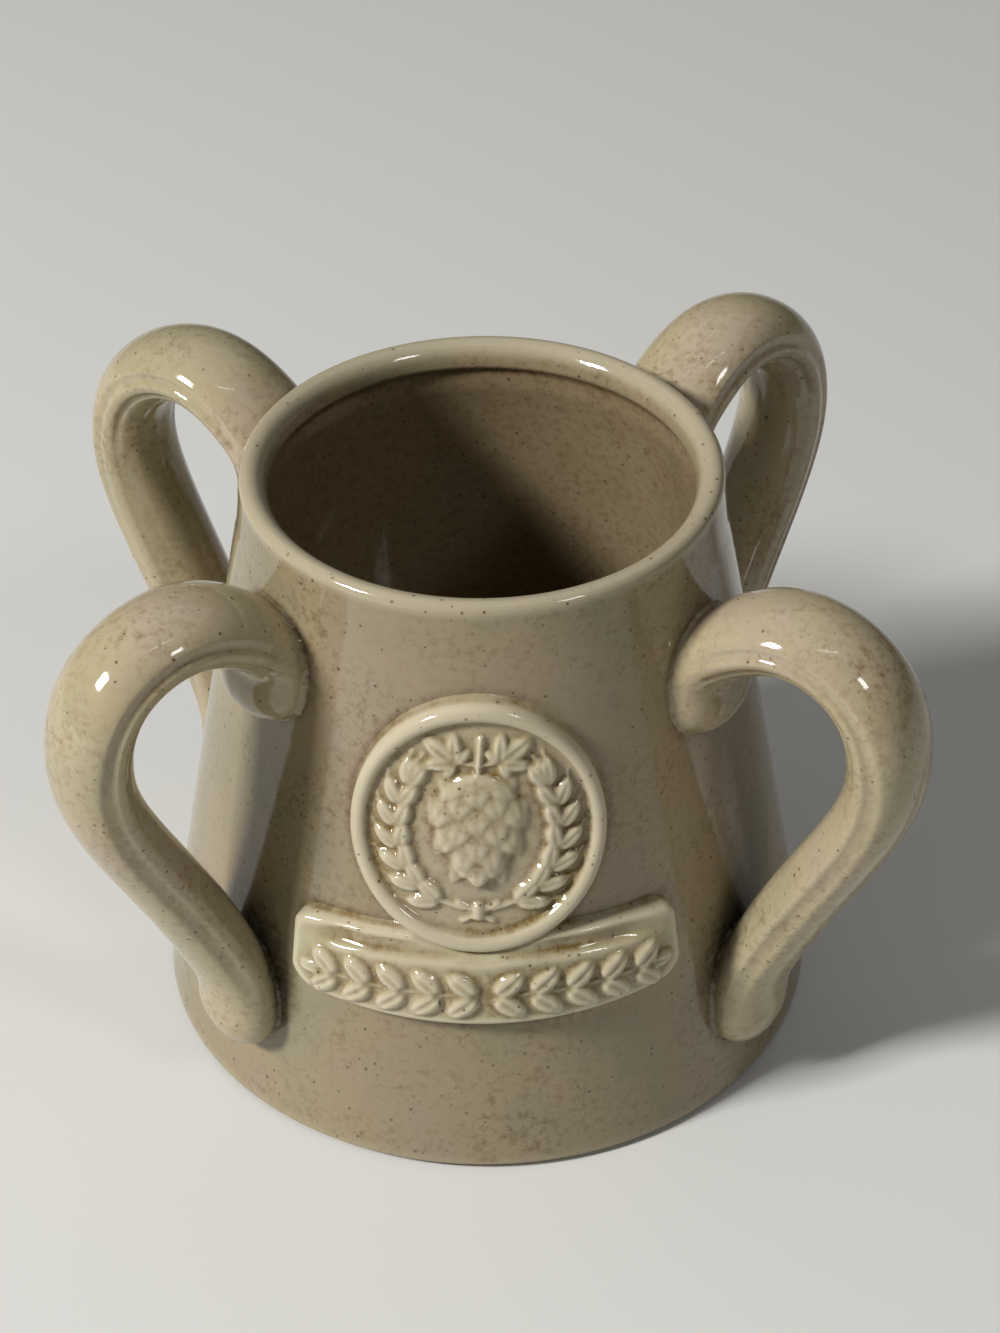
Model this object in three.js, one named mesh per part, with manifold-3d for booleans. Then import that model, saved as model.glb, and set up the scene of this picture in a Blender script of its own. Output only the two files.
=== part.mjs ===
// Four-handled stoneware mug: a cast cone-shaped cup with four rolled clay handles luted to its wall,
// an oval plaque of barley and hops pressed on the front, and a plain ribbon under the plaque.
// Millimetres, +Z up. The foot stands on Z = 0, the cup's axis is the Z axis and the front faces -Y.

import * as THREE from 'three';
import { mergeVertices } from 'three/addons/utils/BufferGeometryUtils.js';
import { NURBSCurve } from 'three/addons/curves/NURBSCurve.js';
import Module from 'manifold-3d';

// Cup
const cupHeight = 95;
const footRadius = 52;
const collarRadius = 36.2;
const rimRadius = 35.8;
const collarHeight = 7;
const wallThickness = 3.8;
const floorThickness = 5;
const insideCornerRadius = 8;
const lipThickness = 3.6;
const lipBandDepth = 3.6;
const lipBandThickness = 4.0;
const lipUndercut = 1.0;

// Foot: an unglazed ring that stands in from the glazed wall, around a shallow recess
const footRingHeight = 0.8;
const footRingInset = 1.4;
const footRingWidth = 5;
const footRecessDepth = 1.6;
const glazeRollRadius = 0.5;

// Handles: one rolled shape, pressed on at four places. Seats are stand-offs from the wall, and
// presses are how far the clay between them was pushed back towards it
const handleCrownDrop = 4.3;
const handleTailHeight = 13.6;
const handleReach = 30.7;
const lobeSeat = 1.9;
const lobePress = 1.6;
const tailSeat = 2.3;
const tailPress = 0.9;
const lobeWidth = 19.4;
const gripWidth = 16.5;
const tailWidth = 16;
const lobeThickness = 10.3;
const gripThickness = 11.7;
const tailThickness = 10.6;
const tipLength = 7;
const sideGrooveDepth = 0.5;
const sideGrooveAngle = 112;
const sideGrooveSpread = 16;
const innerFlattening = 0.12;

// Shares of a handle's path at which its lobe has narrowed and thinned to the grip,
// and at which the grip starts to change to its tail
const lobeNarrowed = 0.35;
const lobeThinned = 0.2;
const tailNarrowing = 0.5;
const tailThinning = 0.8;

// Where each handle sits: the direction of its plane, how far that plane passes beside the axis,
// how much higher than the others it was pressed on, and how far its tail drifts sideways
const handlePlaces = [
  { name: 'handle_front_left', azimuth: -57, sideways: 0.9, lift: -0.8, drift: 5 },
  { name: 'handle_front_right', azimuth: 52.7, sideways: 1.5, lift: -4.7, drift: -4.2 },
  { name: 'handle_back_right', azimuth: 132, sideways: -0.2, lift: 3.3, drift: 0.5 },
  { name: 'handle_back_left', azimuth: -127.5, sideways: -1, lift: 2.5, drift: 1 }
];

// Plaque
const plaqueWidth = 36.8;
const plaqueHeight = 42.4;
const plaqueCentreHeight = 60.7;
const plaqueAzimuth = -4;
const plaqueRingWidth = 3.2;
const plaqueRingHeight = 2.4;
const plaqueFieldHeight = 0.9;

// Barley and hops in relief on the plaque
const earLength = 20;
const earLean = 24;
const earSpread = 4.6;
const earFootDrop = 9.5;
const grainLength = 5.2;
const grainWidth = 2.5;
const grainHeight = 1.1;
const grainPairs = 5;
const grainSplay = 26;
const grainOffset = 1.4;
const hopConeLength = 8.6;
const hopConeWidth = 6.4;
const hopConeHeight = 1.3;
const hopConeTop = 12.6;
const hopTiers = 4;
const hopTierNarrowing = 0.18;
const bractRoundness = 0.8;
const smallHopScale = 0.6;
const smallHopSpread = 2.6;
const smallHopTop = -12.2;

// Ribbon
const ribbonWidth = 58.9;
const ribbonHeight = 15.4;
const ribbonEndHeight = 12.6;
const ribbonThickness = 2.6;
const ribbonCentreHeight = 35.3;
const ribbonAzimuth = -2.8;
const ribbonTilt = 0.8;
const ribbonCornerRadius = 4;
const ribbonTopSlope = 2.6;
const ribbonEdgeSlope = 0.8;

// Clearance between pieces that touch on the real mug, where its slip and glaze would be
const seatGap = 0.3;

// Fineness of the faceted surfaces
const cupSides = 64;
const handleSides = 18;
const handleRings = 40;
const plaqueSides = 40;
const ribbonSlices = 24;
const reliefSides = 8;
const reliefRings = 5;
const glazeRollSteps = 3;
const lipSteps = 8;
const insideCornerSteps = 6;
const plaqueRingSteps = 6;
const fieldShares = [0.25, 0.5, 0.75];
const mergeDistance = 1e-4;

// Glaze colours and shine
const bodyGlaze = 0xb7a98c;
const handleGlaze = 0xb3a587;
const plaqueGlaze = 0xc4b999;
const ribbonGlaze = 0xbfb394;
const glazeRoughness = 0.22;

const wasm = await Module();
wasm.setup();

const degrees = Math.PI / 180;
const collarBase = cupHeight - collarHeight;
const footTop = footRingHeight + glazeRollRadius;
const wallLean = Math.atan2(footRadius - collarRadius, collarBase - footTop);

// Outer radius of the cup's wall at a height: a straight cone under an upright collar
function wallRadius(height) {
  const share = (collarBase - height) / (collarBase - footTop);
  return collarRadius + Math.max(share, 0) * (footRadius - collarRadius);
}

// A closed body turned about the Z axis from a profile of (radius, height) points
function turned(profile, sides) {
  const points = profile.map(([radius, height]) => new THREE.Vector2(radius, height));
  return new THREE.LatheGeometry(points, sides).rotateX(Math.PI / 2);
}

// Points on an arc, with angles in radians from the outward direction
function arc(centreRadius, centreHeight, radius, from, to, steps) {
  return Array.from({ length: steps + 1 }, (_, i) => {
    const angle = from + (to - from) * i / steps;
    return [centreRadius + radius * Math.cos(angle), centreHeight + radius * Math.sin(angle)];
  });
}

// Moves every vertex of a geometry by a function of its place and its surface coordinates
function reshape(geometry, move) {
  const { position, uv } = geometry.attributes;
  const vertex = new THREE.Vector3();
  for (let i = 0; i < position.count; i++) {
    vertex.fromBufferAttribute(position, i);
    const moved = move(vertex, uv.getX(i), uv.getY(i));
    position.setXYZ(i, moved.x, moved.y, moved.z);
  }
  return geometry;
}

// A geometry as a solid that can be joined and cut
function solid(geometry) {
  const plain = geometry.clone();
  plain.deleteAttribute('normal');
  plain.deleteAttribute('uv');
  const merged = mergeVertices(plain, mergeDistance);
  const triVerts = new Uint32Array(merged.index.array);
  const vertProperties = new Float32Array(merged.attributes.position.array);
  return new wasm.Manifold(new wasm.Mesh({ numProp: 3, vertProperties, triVerts }));
}

// A joined or cut solid back as a geometry
function geometryOf(body) {
  const { vertProperties, triVerts } = body.getMesh();
  const geometry = new THREE.BufferGeometry();
  geometry.setAttribute('position', new THREE.BufferAttribute(vertProperties, 3));
  geometry.setIndex(new THREE.BufferAttribute(triVerts, 1));
  geometry.computeVertexNormals();
  return geometry;
}

// Cup: foot ring, leaning wall, upright collar, rounded lip with a band inside, and a round-cornered floor
function cupGeometry() {
  const ringOuter = footRadius - footRingInset;
  const ringInner = ringOuter - footRingWidth;
  const recessEdge = ringInner - footRecessDepth / 2;
  const rollCentre = footRadius - glazeRollRadius;
  const lipRadius = lipThickness / 2;
  const bandRadius = rimRadius - lipBandThickness;
  const undercutHeight = cupHeight - lipBandDepth - lipUndercut;
  const innerRadius = (height) => wallRadius(height) - wallThickness / Math.cos(wallLean);
  const cornerHeight = floorThickness + insideCornerRadius;
  const cornerRadius = innerRadius(cornerHeight) - insideCornerRadius / Math.cos(wallLean);
  return turned([
    [0, footRecessDepth],
    [recessEdge, footRecessDepth],
    [ringInner, 0],
    [ringOuter, 0],
    [ringOuter, footRingHeight],
    ...arc(rollCentre, footTop, glazeRollRadius, -Math.PI / 2, 0, glazeRollSteps),
    [wallRadius(collarBase / 2), collarBase / 2],
    [collarRadius, collarBase],
    ...arc(rimRadius - lipRadius, cupHeight - lipRadius, lipRadius, 0, Math.PI, lipSteps),
    [bandRadius, cupHeight - lipBandDepth],
    [innerRadius(undercutHeight), undercutHeight],
    [innerRadius(collarBase), collarBase],
    ...arc(cornerRadius, cornerHeight, insideCornerRadius, wallLean, -Math.PI / 2, insideCornerSteps),
    [0, floorThickness]
  ], cupSides);
}

// The space that the cup's wall takes up, grown by the clearance, which the handles' ends are cut by
function wallCutter() {
  const below = -cupHeight / 4;
  const above = cupHeight * 1.5;
  return solid(turned([
    [0, below],
    [wallRadius(footTop) + seatGap, below],
    [wallRadius(footTop) + seatGap, footTop],
    [collarRadius + seatGap, collarBase],
    [collarRadius + seatGap, above],
    [0, above]
  ], cupSides));
}

// Control points of the handle's centre line, from the lobe at the upper root to the tip of the tail:
// share of the handle's height, and stand-off from the wall
const centreLine = [
  [0.71, lobeSeat],
  [0.84, -lobePress],
  [0.93, 0.22 * handleReach],
  [1.00, 0.57 * handleReach],
  [0.93, 0.98 * handleReach],
  [0.74, handleReach],
  [0.58, 0.78 * handleReach],
  [0.40, 0.455 * handleReach],
  [0.255, 0.20 * handleReach],
  [0.115, -tailPress],
  [0.00, tailSeat]
];

// Centre line in the handle's own plane: x outward from the axis, z up
function handlePath() {
  const degree = 3;
  const spans = centreLine.length - degree;
  const inner = Array.from({ length: spans - 1 }, (_, i) => (i + 1) / spans);
  const knots = [0, 0, 0, 0, ...inner, 1, 1, 1, 1];
  const crownHeight = cupHeight - handleCrownDrop;
  const points = centreLine.map(([share, standOff]) => {
    const height = THREE.MathUtils.lerp(handleTailHeight, crownHeight, share);
    return new THREE.Vector4(wallRadius(height) + standOff, 0, height, 1);
  });
  return new NURBSCurve(degree, knots, points);
}

// Half width and half thickness of the roll at a share of its path, with both ends rounded off
function rollSize(share, fromEnd) {
  const { lerp, smoothstep } = THREE.MathUtils;
  const upperWidth = lerp(lobeWidth, gripWidth, smoothstep(share, 0, lobeNarrowed));
  const width = lerp(upperWidth, tailWidth, smoothstep(share, tailNarrowing, 1));
  const upperThickness = lerp(lobeThickness, gripThickness, smoothstep(share, 0, lobeThinned));
  const thickness = lerp(upperThickness, tailThickness, smoothstep(share, tailThinning, 1));
  const rounding = Math.sqrt(1 - (1 - Math.min(fromEnd / tipLength, 1)) ** 2);
  return { halfWidth: width / 2 * rounding, halfThickness: thickness / 2 * rounding };
}

// Section of the roll: an oval with a soft groove along each side and a flatter inner face
function sectionPoint(angle, halfWidth, halfThickness) {
  const turn = Math.abs(Math.atan2(Math.sin(angle), Math.cos(angle))) / degrees;
  const groove = sideGrooveDepth * Math.exp(-(((turn - sideGrooveAngle) / sideGrooveSpread) ** 2));
  const across = Math.sin(angle) * halfWidth * (1 - groove / (gripWidth / 2));
  const outward = Math.cos(angle) * halfThickness;
  const flattening = outward < 0 ? innerFlattening * Math.cos(angle) ** 2 : 0;
  return { across, outward: outward * (1 - flattening) };
}

// One handle, as a ball whose rings are drawn out along the centre line, closer together at its ends
function handleGeometry({ azimuth, sideways, lift, drift }) {
  const path = handlePath();
  const ends = [path.getPoint(0), path.getPoint(1)];
  const crowding = 0.85;
  const direction = azimuth * degrees;
  const out = new THREE.Vector3(Math.sin(direction), -Math.cos(direction), 0);
  const side = new THREE.Vector3(Math.cos(direction), Math.sin(direction), 0);
  const up = new THREE.Vector3(0, 0, 1);
  const ball = new THREE.SphereGeometry(1, handleSides, handleRings);
  return reshape(ball, (vertex, u, v) => {
    const even = 1 - v;
    const share = THREE.MathUtils.clamp(even - crowding * Math.sin(2 * Math.PI * even) / (2 * Math.PI), 0, 1);
    const centre = path.getPoint(share);
    const tangent = path.getTangent(share);
    const fromEnd = Math.min(...ends.map((end) => centre.distanceTo(end)));
    const size = rollSize(share, fromEnd);
    const { across, outward } = sectionPoint(2 * Math.PI * u, size.halfWidth, size.halfThickness);
    const tailDrift = drift * Math.max(2 * share - 1, 0) ** 2;
    return new THREE.Vector3()
      .addScaledVector(out, centre.x - tangent.z * outward)
      .addScaledVector(up, centre.z + lift + tangent.x * outward)
      .addScaledVector(side, sideways + tailDrift + across);
  });
}

// Lays a flat ornament on the leaning wall: x along the wall, y up the wall, z out of it
function onWall(vertex, azimuth, centreHeight, tilt = 0) {
  const along = vertex.x * Math.cos(tilt) - vertex.y * Math.sin(tilt);
  const upWall = vertex.x * Math.sin(tilt) + vertex.y * Math.cos(tilt);
  const standOff = vertex.z + seatGap;
  const direction = azimuth * degrees + along / wallRadius(centreHeight);
  const radius = wallRadius(centreHeight) - upWall * Math.sin(wallLean) + standOff * Math.cos(wallLean);
  const height = centreHeight + upWall * Math.cos(wallLean) + standOff * Math.sin(wallLean);
  return new THREE.Vector3(radius * Math.sin(direction), -radius * Math.cos(direction), height);
}

const onPlaque = (vertex) => onWall(vertex, plaqueAzimuth, plaqueCentreHeight);

// A flat disc with a profile of (radius, height) points, made as tall as the plaque and laid on the wall
function plaqueDisc(profile) {
  const stretch = plaqueHeight / plaqueWidth;
  return reshape(turned(profile, plaqueSides), (vertex) => onPlaque(vertex.setY(vertex.y * stretch)));
}

// The plaque's ground: a rounded raised ring around a sunken field
function plaqueGround() {
  const edge = plaqueWidth / 2;
  const fieldEdge = edge - plaqueRingWidth;
  const crestRise = plaqueRingHeight - plaqueFieldHeight;
  const crown = arc(0, 0, 1, 0, Math.PI, plaqueRingSteps);
  return plaqueDisc([
    [0, 0],
    ...fieldShares.map((share) => [edge * share, 0]),
    [edge, 0],
    ...crown.map(([x, y]) => [edge + (x - 1) * plaqueRingWidth / 2, plaqueFieldHeight + y * crestRise]),
    ...fieldShares.toReversed().map((share) => [fieldEdge * share, plaqueFieldHeight]),
    [0, plaqueFieldHeight]
  ]);
}

// One swelling of the relief: a low dome rooted in the field, lying at an angle to upright
function swelling(x, y, length, width, height, angle) {
  const root = plaqueFieldHeight / 2;
  const ball = new THREE.SphereGeometry(1, reliefSides, reliefRings);
  const turn = new THREE.Matrix4().makeRotationZ(angle);
  return solid(reshape(ball, (vertex) => {
    const depth = vertex.z > 0 ? height : root;
    vertex.set(vertex.x * width / 2, vertex.y * length / 2, vertex.z * depth).applyMatrix4(turn);
    return onPlaque(vertex.add(new THREE.Vector3(x, y, plaqueFieldHeight)));
  }));
}

// A barley ear: pairs of grains that splay from a leaning stalk, and one grain at its tip
function barleyEar(side) {
  const lean = -side * earLean * degrees;
  const grains = [];
  for (let pair = 0; pair <= grainPairs; pair++) {
    const along = earLength * pair / grainPairs;
    const atTip = pair === grainPairs;
    for (const edge of atTip ? [0] : [-1, 1]) {
      const across = edge * grainOffset;
      const x = side * earSpread + across * Math.cos(lean) - along * Math.sin(lean);
      const y = -earFootDrop + across * Math.sin(lean) + along * Math.cos(lean);
      grains.push(swelling(x, y, grainLength, grainWidth, grainHeight, lean - edge * grainSplay * degrees));
    }
  }
  return grains;
}

// A hop cone: tiers of bracts that narrow towards its lower tip
function hopCone(x, y, scale) {
  return Array.from({ length: hopTiers }, (_, tier) => {
    const narrowing = 1 - hopTierNarrowing * tier;
    const drop = tier * hopConeLength / (hopTiers + 1);
    const width = hopConeWidth * narrowing * scale;
    return swelling(x, y - drop * scale, width * bractRoundness, width, hopConeHeight * narrowing, 0);
  });
}

function plaqueGeometry() {
  const relief = [
    ...barleyEar(-1),
    ...barleyEar(1),
    ...hopCone(0, hopConeTop, 1),
    ...hopCone(-smallHopSpread, smallHopTop, smallHopScale),
    ...hopCone(smallHopSpread, smallHopTop, smallHopScale)
  ];
  return geometryOf(relief.reduce((whole, piece) => whole.add(piece), solid(plaqueGround())));
}

// Half of the ribbon's height at a distance from its middle, with rounded ends
function ribbonHalfHeight(fromMiddle) {
  const end = ribbonWidth / 2;
  const share = Math.min(fromMiddle / end, 1);
  const half = THREE.MathUtils.lerp(ribbonHeight, ribbonEndHeight, share ** 2) / 2;
  const intoCorner = Math.max(fromMiddle - (end - ribbonCornerRadius), 0);
  return half - ribbonCornerRadius + Math.sqrt(Math.max(ribbonCornerRadius ** 2 - intoCorner ** 2, 0));
}

function ribbonGeometry() {
  const end = ribbonWidth / 2;
  const slab = new THREE.BoxGeometry(2, 2, 1, ribbonSlices, 2, 1);
  slab.translate(0, 0, 0.5);
  const laid = reshape(slab, (vertex) => {
    const along = Math.sin(vertex.x * Math.PI / 2) * (end - ribbonEdgeSlope * vertex.z);
    const half = ribbonHalfHeight(Math.abs(along));
    const slope = vertex.y > 0 ? ribbonTopSlope : ribbonEdgeSlope;
    vertex.set(along, vertex.y * (half - slope * vertex.z), vertex.z * ribbonThickness);
    return onWall(vertex, ribbonAzimuth, ribbonCentreHeight, ribbonTilt * degrees);
  });
  const edge = plaqueWidth / 2 + seatGap;
  const plaqueSpace = plaqueDisc([
    [0, -2 * seatGap],
    [edge, -2 * seatGap],
    [edge, plaqueRingHeight + ribbonThickness],
    [0, plaqueRingHeight + ribbonThickness]
  ]);
  return geometryOf(solid(laid).subtract(solid(plaqueSpace)));
}

const mug = new THREE.Group();

function addPiece(name, geometry, color) {
  const glaze = new THREE.MeshStandardMaterial({ color, roughness: glazeRoughness, metalness: 0 });
  const piece = new THREE.Mesh(geometry, glaze);
  piece.name = name;
  mug.add(piece);
}

addPiece('mug_body', cupGeometry(), bodyGlaze);

const cutter = wallCutter();
for (const place of handlePlaces) {
  const cut = solid(handleGeometry(place)).subtract(cutter);
  addPiece(place.name, geometryOf(cut), handleGlaze);
}

addPiece('plaque', plaqueGeometry(), plaqueGlaze);
addPiece('ribbon', ribbonGeometry(), ribbonGlaze);

export default mug;
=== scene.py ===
# %% [markdown]
# # A four-handled stoneware mug
# This lesson dresses a measured model of a mug. The mug is cast as a cone-shaped cup. Four rolled
# bars of clay are bent into loops and pressed on its wall, with an oval plaque and a ribbon on the
# front, and all of it is dipped in one clear glaze. The measured model is loaded first, and stays
# where it is. Each of its parts is then replaced by a finer piece of the same size in the same place.

# %% Load the measured model
import math
from functools import partial

import bmesh
import bpy
import numpy as np
from mathutils import Matrix, Vector


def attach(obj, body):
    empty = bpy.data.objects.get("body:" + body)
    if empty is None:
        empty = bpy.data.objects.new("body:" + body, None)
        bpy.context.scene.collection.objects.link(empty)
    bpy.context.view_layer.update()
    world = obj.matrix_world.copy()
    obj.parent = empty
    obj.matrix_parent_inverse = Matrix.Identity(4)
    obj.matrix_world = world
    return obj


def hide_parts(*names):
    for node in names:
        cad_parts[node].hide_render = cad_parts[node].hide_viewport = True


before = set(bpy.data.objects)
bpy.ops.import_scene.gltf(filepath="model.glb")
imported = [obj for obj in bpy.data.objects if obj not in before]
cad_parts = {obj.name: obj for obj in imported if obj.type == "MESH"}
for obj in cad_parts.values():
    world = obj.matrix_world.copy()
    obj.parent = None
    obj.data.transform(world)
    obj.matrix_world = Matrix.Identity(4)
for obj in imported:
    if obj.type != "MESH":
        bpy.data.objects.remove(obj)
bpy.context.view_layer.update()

print("measured parts:", sorted(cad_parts))

# %% [markdown]
# ## Units and helpers
# The sizes below are in millimetres, as a potter writes them, and Blender works in metres. Colours
# are picked as sRGB hex values, the way a colour chart gives them, and a shader wants them linear.
# One small function adds a node to any tree, geometry or shader, so the trees below read as lists.
# Python's *partial* ties it to one tree, under the short name `add`.

# %% Units, colours and nodes
MM = 0.001
CUBIC_CM = 1e-6


def linear(hex_colour):
    """An sRGB hex colour as a linear colour with alpha."""
    channels = [int(hex_colour[i:i + 2], 16) / 255 for i in (1, 3, 5)]
    return [c / 12.92 if c <= 0.04045 else ((c + 0.055) / 1.055) ** 2.4 for c in channels] + [1.0]


def add_node(tree, kind, inputs=(), **settings):
    """Adds a node with its settings, and fills its inputs with values, nodes or sockets."""
    made = tree.nodes.new(kind)
    for name, value in settings.items():
        setattr(made, name, value)
    pairs = inputs.items() if isinstance(inputs, dict) else enumerate(inputs)
    for key, value in pairs:
        if isinstance(value, bpy.types.Node):
            value = value.outputs[0]
        if isinstance(value, bpy.types.NodeSocket):
            tree.links.new(value, made.inputs[key])
        else:
            made.inputs[key].default_value = value
    return made


# %% Objects and their attributes
def place_object(name, data):
    """An object for a mesh, a camera or a lamp, in the scene and at its origin."""
    made = bpy.data.objects.new(name, data)
    bpy.context.scene.collection.objects.link(made)
    return made


def add_object(name, vertices, faces=(), edges=()):
    """A mesh object from vertices in millimetres."""
    mesh = bpy.data.meshes.new(name)
    mesh.from_pydata((np.asarray(vertices) * MM).tolist(), [list(edge) for edge in edges], faces)
    return place_object(name, mesh)


def set_attribute(piece, name, values):
    """Writes one number for each vertex, which a material or a tree reads by name."""
    layer = piece.data.attributes.new(name, "FLOAT", "POINT")
    layer.data.foreach_set("value", np.asarray(values, dtype=np.float32).ravel())


def face_outwards(piece):
    """Turns the faces of a closed piece outwards, and prints its volume and its open edges."""
    solid = bmesh.new()
    solid.from_mesh(piece.data)
    open_edges = sum(not edge.is_manifold for edge in solid.edges)
    volume = solid.calc_volume(signed=True)
    solid.free()
    if volume < 0:
        piece.data.flip_normals()
    print(f"{piece.name}: {abs(volume) / CUBIC_CM:.1f} cm3, {open_edges} open edges")


# %% [markdown]
# ## Geometry Nodes trees
# A tree is a recipe with named inputs, so one recipe makes all four handles. `new_tree` makes an
# empty recipe, a short way to add nodes to it, and its inputs. `run_tree` follows it for one object.
# A modifier's input is set by its socket's identifier, before the object is first evaluated, and the
# result is kept as plain mesh.

# %% Make and run a tree
SOFTLY = {"interpolation_type": "SMOOTHSTEP"}


def new_tree(name, sockets):
    """An empty geometry tree, `add_node` bound to it, and its named inputs."""
    tree = bpy.data.node_groups.new(name, "GeometryNodeTree")
    tree.interface.new_socket("Geometry", in_out="INPUT", socket_type="NodeSocketGeometry")
    for socket_name, kind in sockets.items():
        tree.interface.new_socket(socket_name, in_out="INPUT", socket_type="NodeSocket" + kind)
    tree.interface.new_socket("Geometry", in_out="OUTPUT", socket_type="NodeSocketGeometry")
    return tree, partial(add_node, tree), add_node(tree, "NodeGroupInput").outputs


def end_tree(tree, geometry, material):
    """Ends a tree: smooth shading, real geometry instead of instances, and the material."""
    smooth = add_node(tree, "GeometryNodeSetShadeSmooth", [geometry])
    real = add_node(tree, "GeometryNodeRealizeInstances", [smooth])
    dressed = add_node(tree, "GeometryNodeSetMaterial", {"Geometry": real, "Material": material})
    add_node(tree, "NodeGroupOutput", [dressed])
    print(f"{tree.name}: a tree of {len(tree.nodes)} nodes")


def run_tree(piece, tree, values):
    """Runs a tree on an object and keeps the result as its plain mesh."""
    modifier = piece.modifiers.new(tree.name, "NODES")
    modifier.node_group = tree
    for item in tree.interface.items_tree:
        if item.item_type == "SOCKET" and item.in_out == "INPUT" and item.name in values:
            modifier[item.identifier] = values[item.name]
    evaluated = piece.evaluated_get(bpy.context.evaluated_depsgraph_get())
    mesh = bpy.data.meshes.new_from_object(evaluated)
    piece.modifiers.remove(modifier)
    piece.data = mesh
    print(f"{piece.name}: {tree.name} made {len(mesh.vertices)} vertices")


# %% [markdown]
# ## The wall of the cup
# Everything on this mug sits on one leaning wall: a straight cone under a short upright collar. Two
# rules say where that wall is, and all pieces share them, so they meet without any fitting. The
# first gives the radius at a height. The second lays a flat ornament on the wall, the way a potter
# bends a pressed pad of clay around the cup.

# %% Sizes of the cup and the rules of its wall
CUP_HEIGHT = 95.0
FOOT_RADIUS = 52.0
COLLAR_RADIUS = 36.2
COLLAR_BASE = 88.0
FOOT_TOP = 1.3
WALL_LEAN = math.atan2(FOOT_RADIUS - COLLAR_RADIUS, COLLAR_BASE - FOOT_TOP)


def wall_radius(height):
    """Outer radius of the wall at a height."""
    share = (COLLAR_BASE - height) / (COLLAR_BASE - FOOT_TOP)
    return COLLAR_RADIUS + np.maximum(share, 0) * (FOOT_RADIUS - COLLAR_RADIUS)


def lay_on_wall(x, y, stand_off, azimuth, centre_height, tilt=0.0):
    """Places of points that lie x along the wall, y up it and stand_off out of it."""
    along = x * math.cos(tilt) - y * math.sin(tilt)
    up = x * math.sin(tilt) + y * math.cos(tilt)
    direction = math.radians(azimuth) + along / wall_radius(centre_height)
    radius = wall_radius(centre_height) - up * math.sin(WALL_LEAN) + stand_off * math.cos(WALL_LEAN)
    height = centre_height + up * math.cos(WALL_LEAN) + stand_off * math.sin(WALL_LEAN)
    return np.stack([radius * np.sin(direction), -radius * np.cos(direction), height], axis=-1)


print("the wall leans", round(math.degrees(WALL_LEAN), 2), "degrees")

# %% [markdown]
# ## The cup
# A cast or thrown cup is a shape of revolution, so its outline is drawn once and spun. Its lip is
# round, with a thicker band just inside the mouth where the potter's fingers closed it. The foot is
# a bare ring that stands in a little, so the glazed wall ends in a rolled edge just above the table.
# Blender's Spin does this, and its doubles are merged and its normals worked out afterwards.

# %% Outline of the cup
WALL_THICKNESS = 3.8
FLOOR_THICKNESS = 5.0
BEND_BELOW = 1.5
BEND_ABOVE = 1.2
RIM_RADIUS = 35.8
LIP_SHOULDER = 1.5
BAND_DEPTH = 3.8
BAND_THICKNESS = 4.3
BAND_ROUND = 0.35
BAND_UNDERCUT = 0.9
INSIDE_CORNER = 8.0
FOOT_RING = 5.0
FOOT_RECESS = 1.6
FOOT_RISE = 0.8
FOOT_INSET = 1.4
RING_INNER_ROUND = 0.5
RING_OUTER_ROUND = 0.4
ROLL_RADIUS = 0.5


def arc(centre, radius, start, stop, steps):
    """Points on an arc around (x, z), with angles in degrees from the outward direction."""
    angles = np.radians(np.linspace(start, stop, steps))
    return [(centre[0] + radius * math.cos(a), centre[1] + radius * math.sin(a)) for a in angles]


def cup_outline():
    """The outline from the middle of the underside, round the outside and in, to the inside floor."""
    lean = math.degrees(WALL_LEAN)
    ring_outer = FOOT_RADIUS - FOOT_INSET
    ring_inner = ring_outer - FOOT_RING
    lip_middle = RIM_RADIUS - LIP_SHOULDER
    inward = np.radians(np.linspace(95, 178, 16))
    band = [(lip_middle + (BAND_THICKNESS - LIP_SHOULDER) * math.cos(a),
             CUP_HEIGHT - BAND_DEPTH + BAND_DEPTH * math.sin(a)) for a in inward]
    undercut = CUP_HEIGHT - BAND_DEPTH - BAND_UNDERCUT
    wall_across = WALL_THICKNESS / math.cos(WALL_LEAN)
    corner_height = FLOOR_THICKNESS + INSIDE_CORNER
    corner_radius = wall_radius(corner_height) - wall_across - INSIDE_CORNER / math.cos(WALL_LEAN)
    return [
        (0, FOOT_RECESS), (ring_inner - FOOT_RECESS, FOOT_RECESS),
        *arc((ring_inner, RING_INNER_ROUND), RING_INNER_ROUND, 200, 270, 5),
        *arc((ring_outer - RING_OUTER_ROUND, RING_OUTER_ROUND), RING_OUTER_ROUND, 270, 360, 5),
        (ring_outer, FOOT_RISE),
        *arc((FOOT_RADIUS - ROLL_RADIUS, FOOT_TOP), ROLL_RADIUS, -90, lean, 8),
        (wall_radius(COLLAR_BASE - BEND_BELOW), COLLAR_BASE - BEND_BELOW),
        (COLLAR_RADIUS, COLLAR_BASE + BEND_ABOVE),
        *arc((lip_middle, CUP_HEIGHT - LIP_SHOULDER), LIP_SHOULDER, 0, 90, 12), *band,
        (RIM_RADIUS - BAND_THICKNESS + BAND_ROUND, CUP_HEIGHT - BAND_DEPTH - BAND_ROUND),
        (wall_radius(undercut) - wall_across, undercut),
        (wall_radius(COLLAR_BASE) - wall_across, COLLAR_BASE - 1),
        *arc((corner_radius, corner_height), INSIDE_CORNER, lean, -90, 20),
        (0, FLOOR_THICKNESS),
    ]


# %% Spin the cup
OUTLINE_STEP = 0.9
SPIN_STEPS = 280


def finer(outline, step):
    """The same outline with no stretch longer than a step."""
    points = [outline[0]]
    for start, stop in zip(outline, outline[1:]):
        count = max(1, math.ceil(math.dist(start, stop) / step))
        points += [tuple(np.array(start) + (np.array(stop) - start) * i / count)
                   for i in range(1, count + 1)]
    return points


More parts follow.
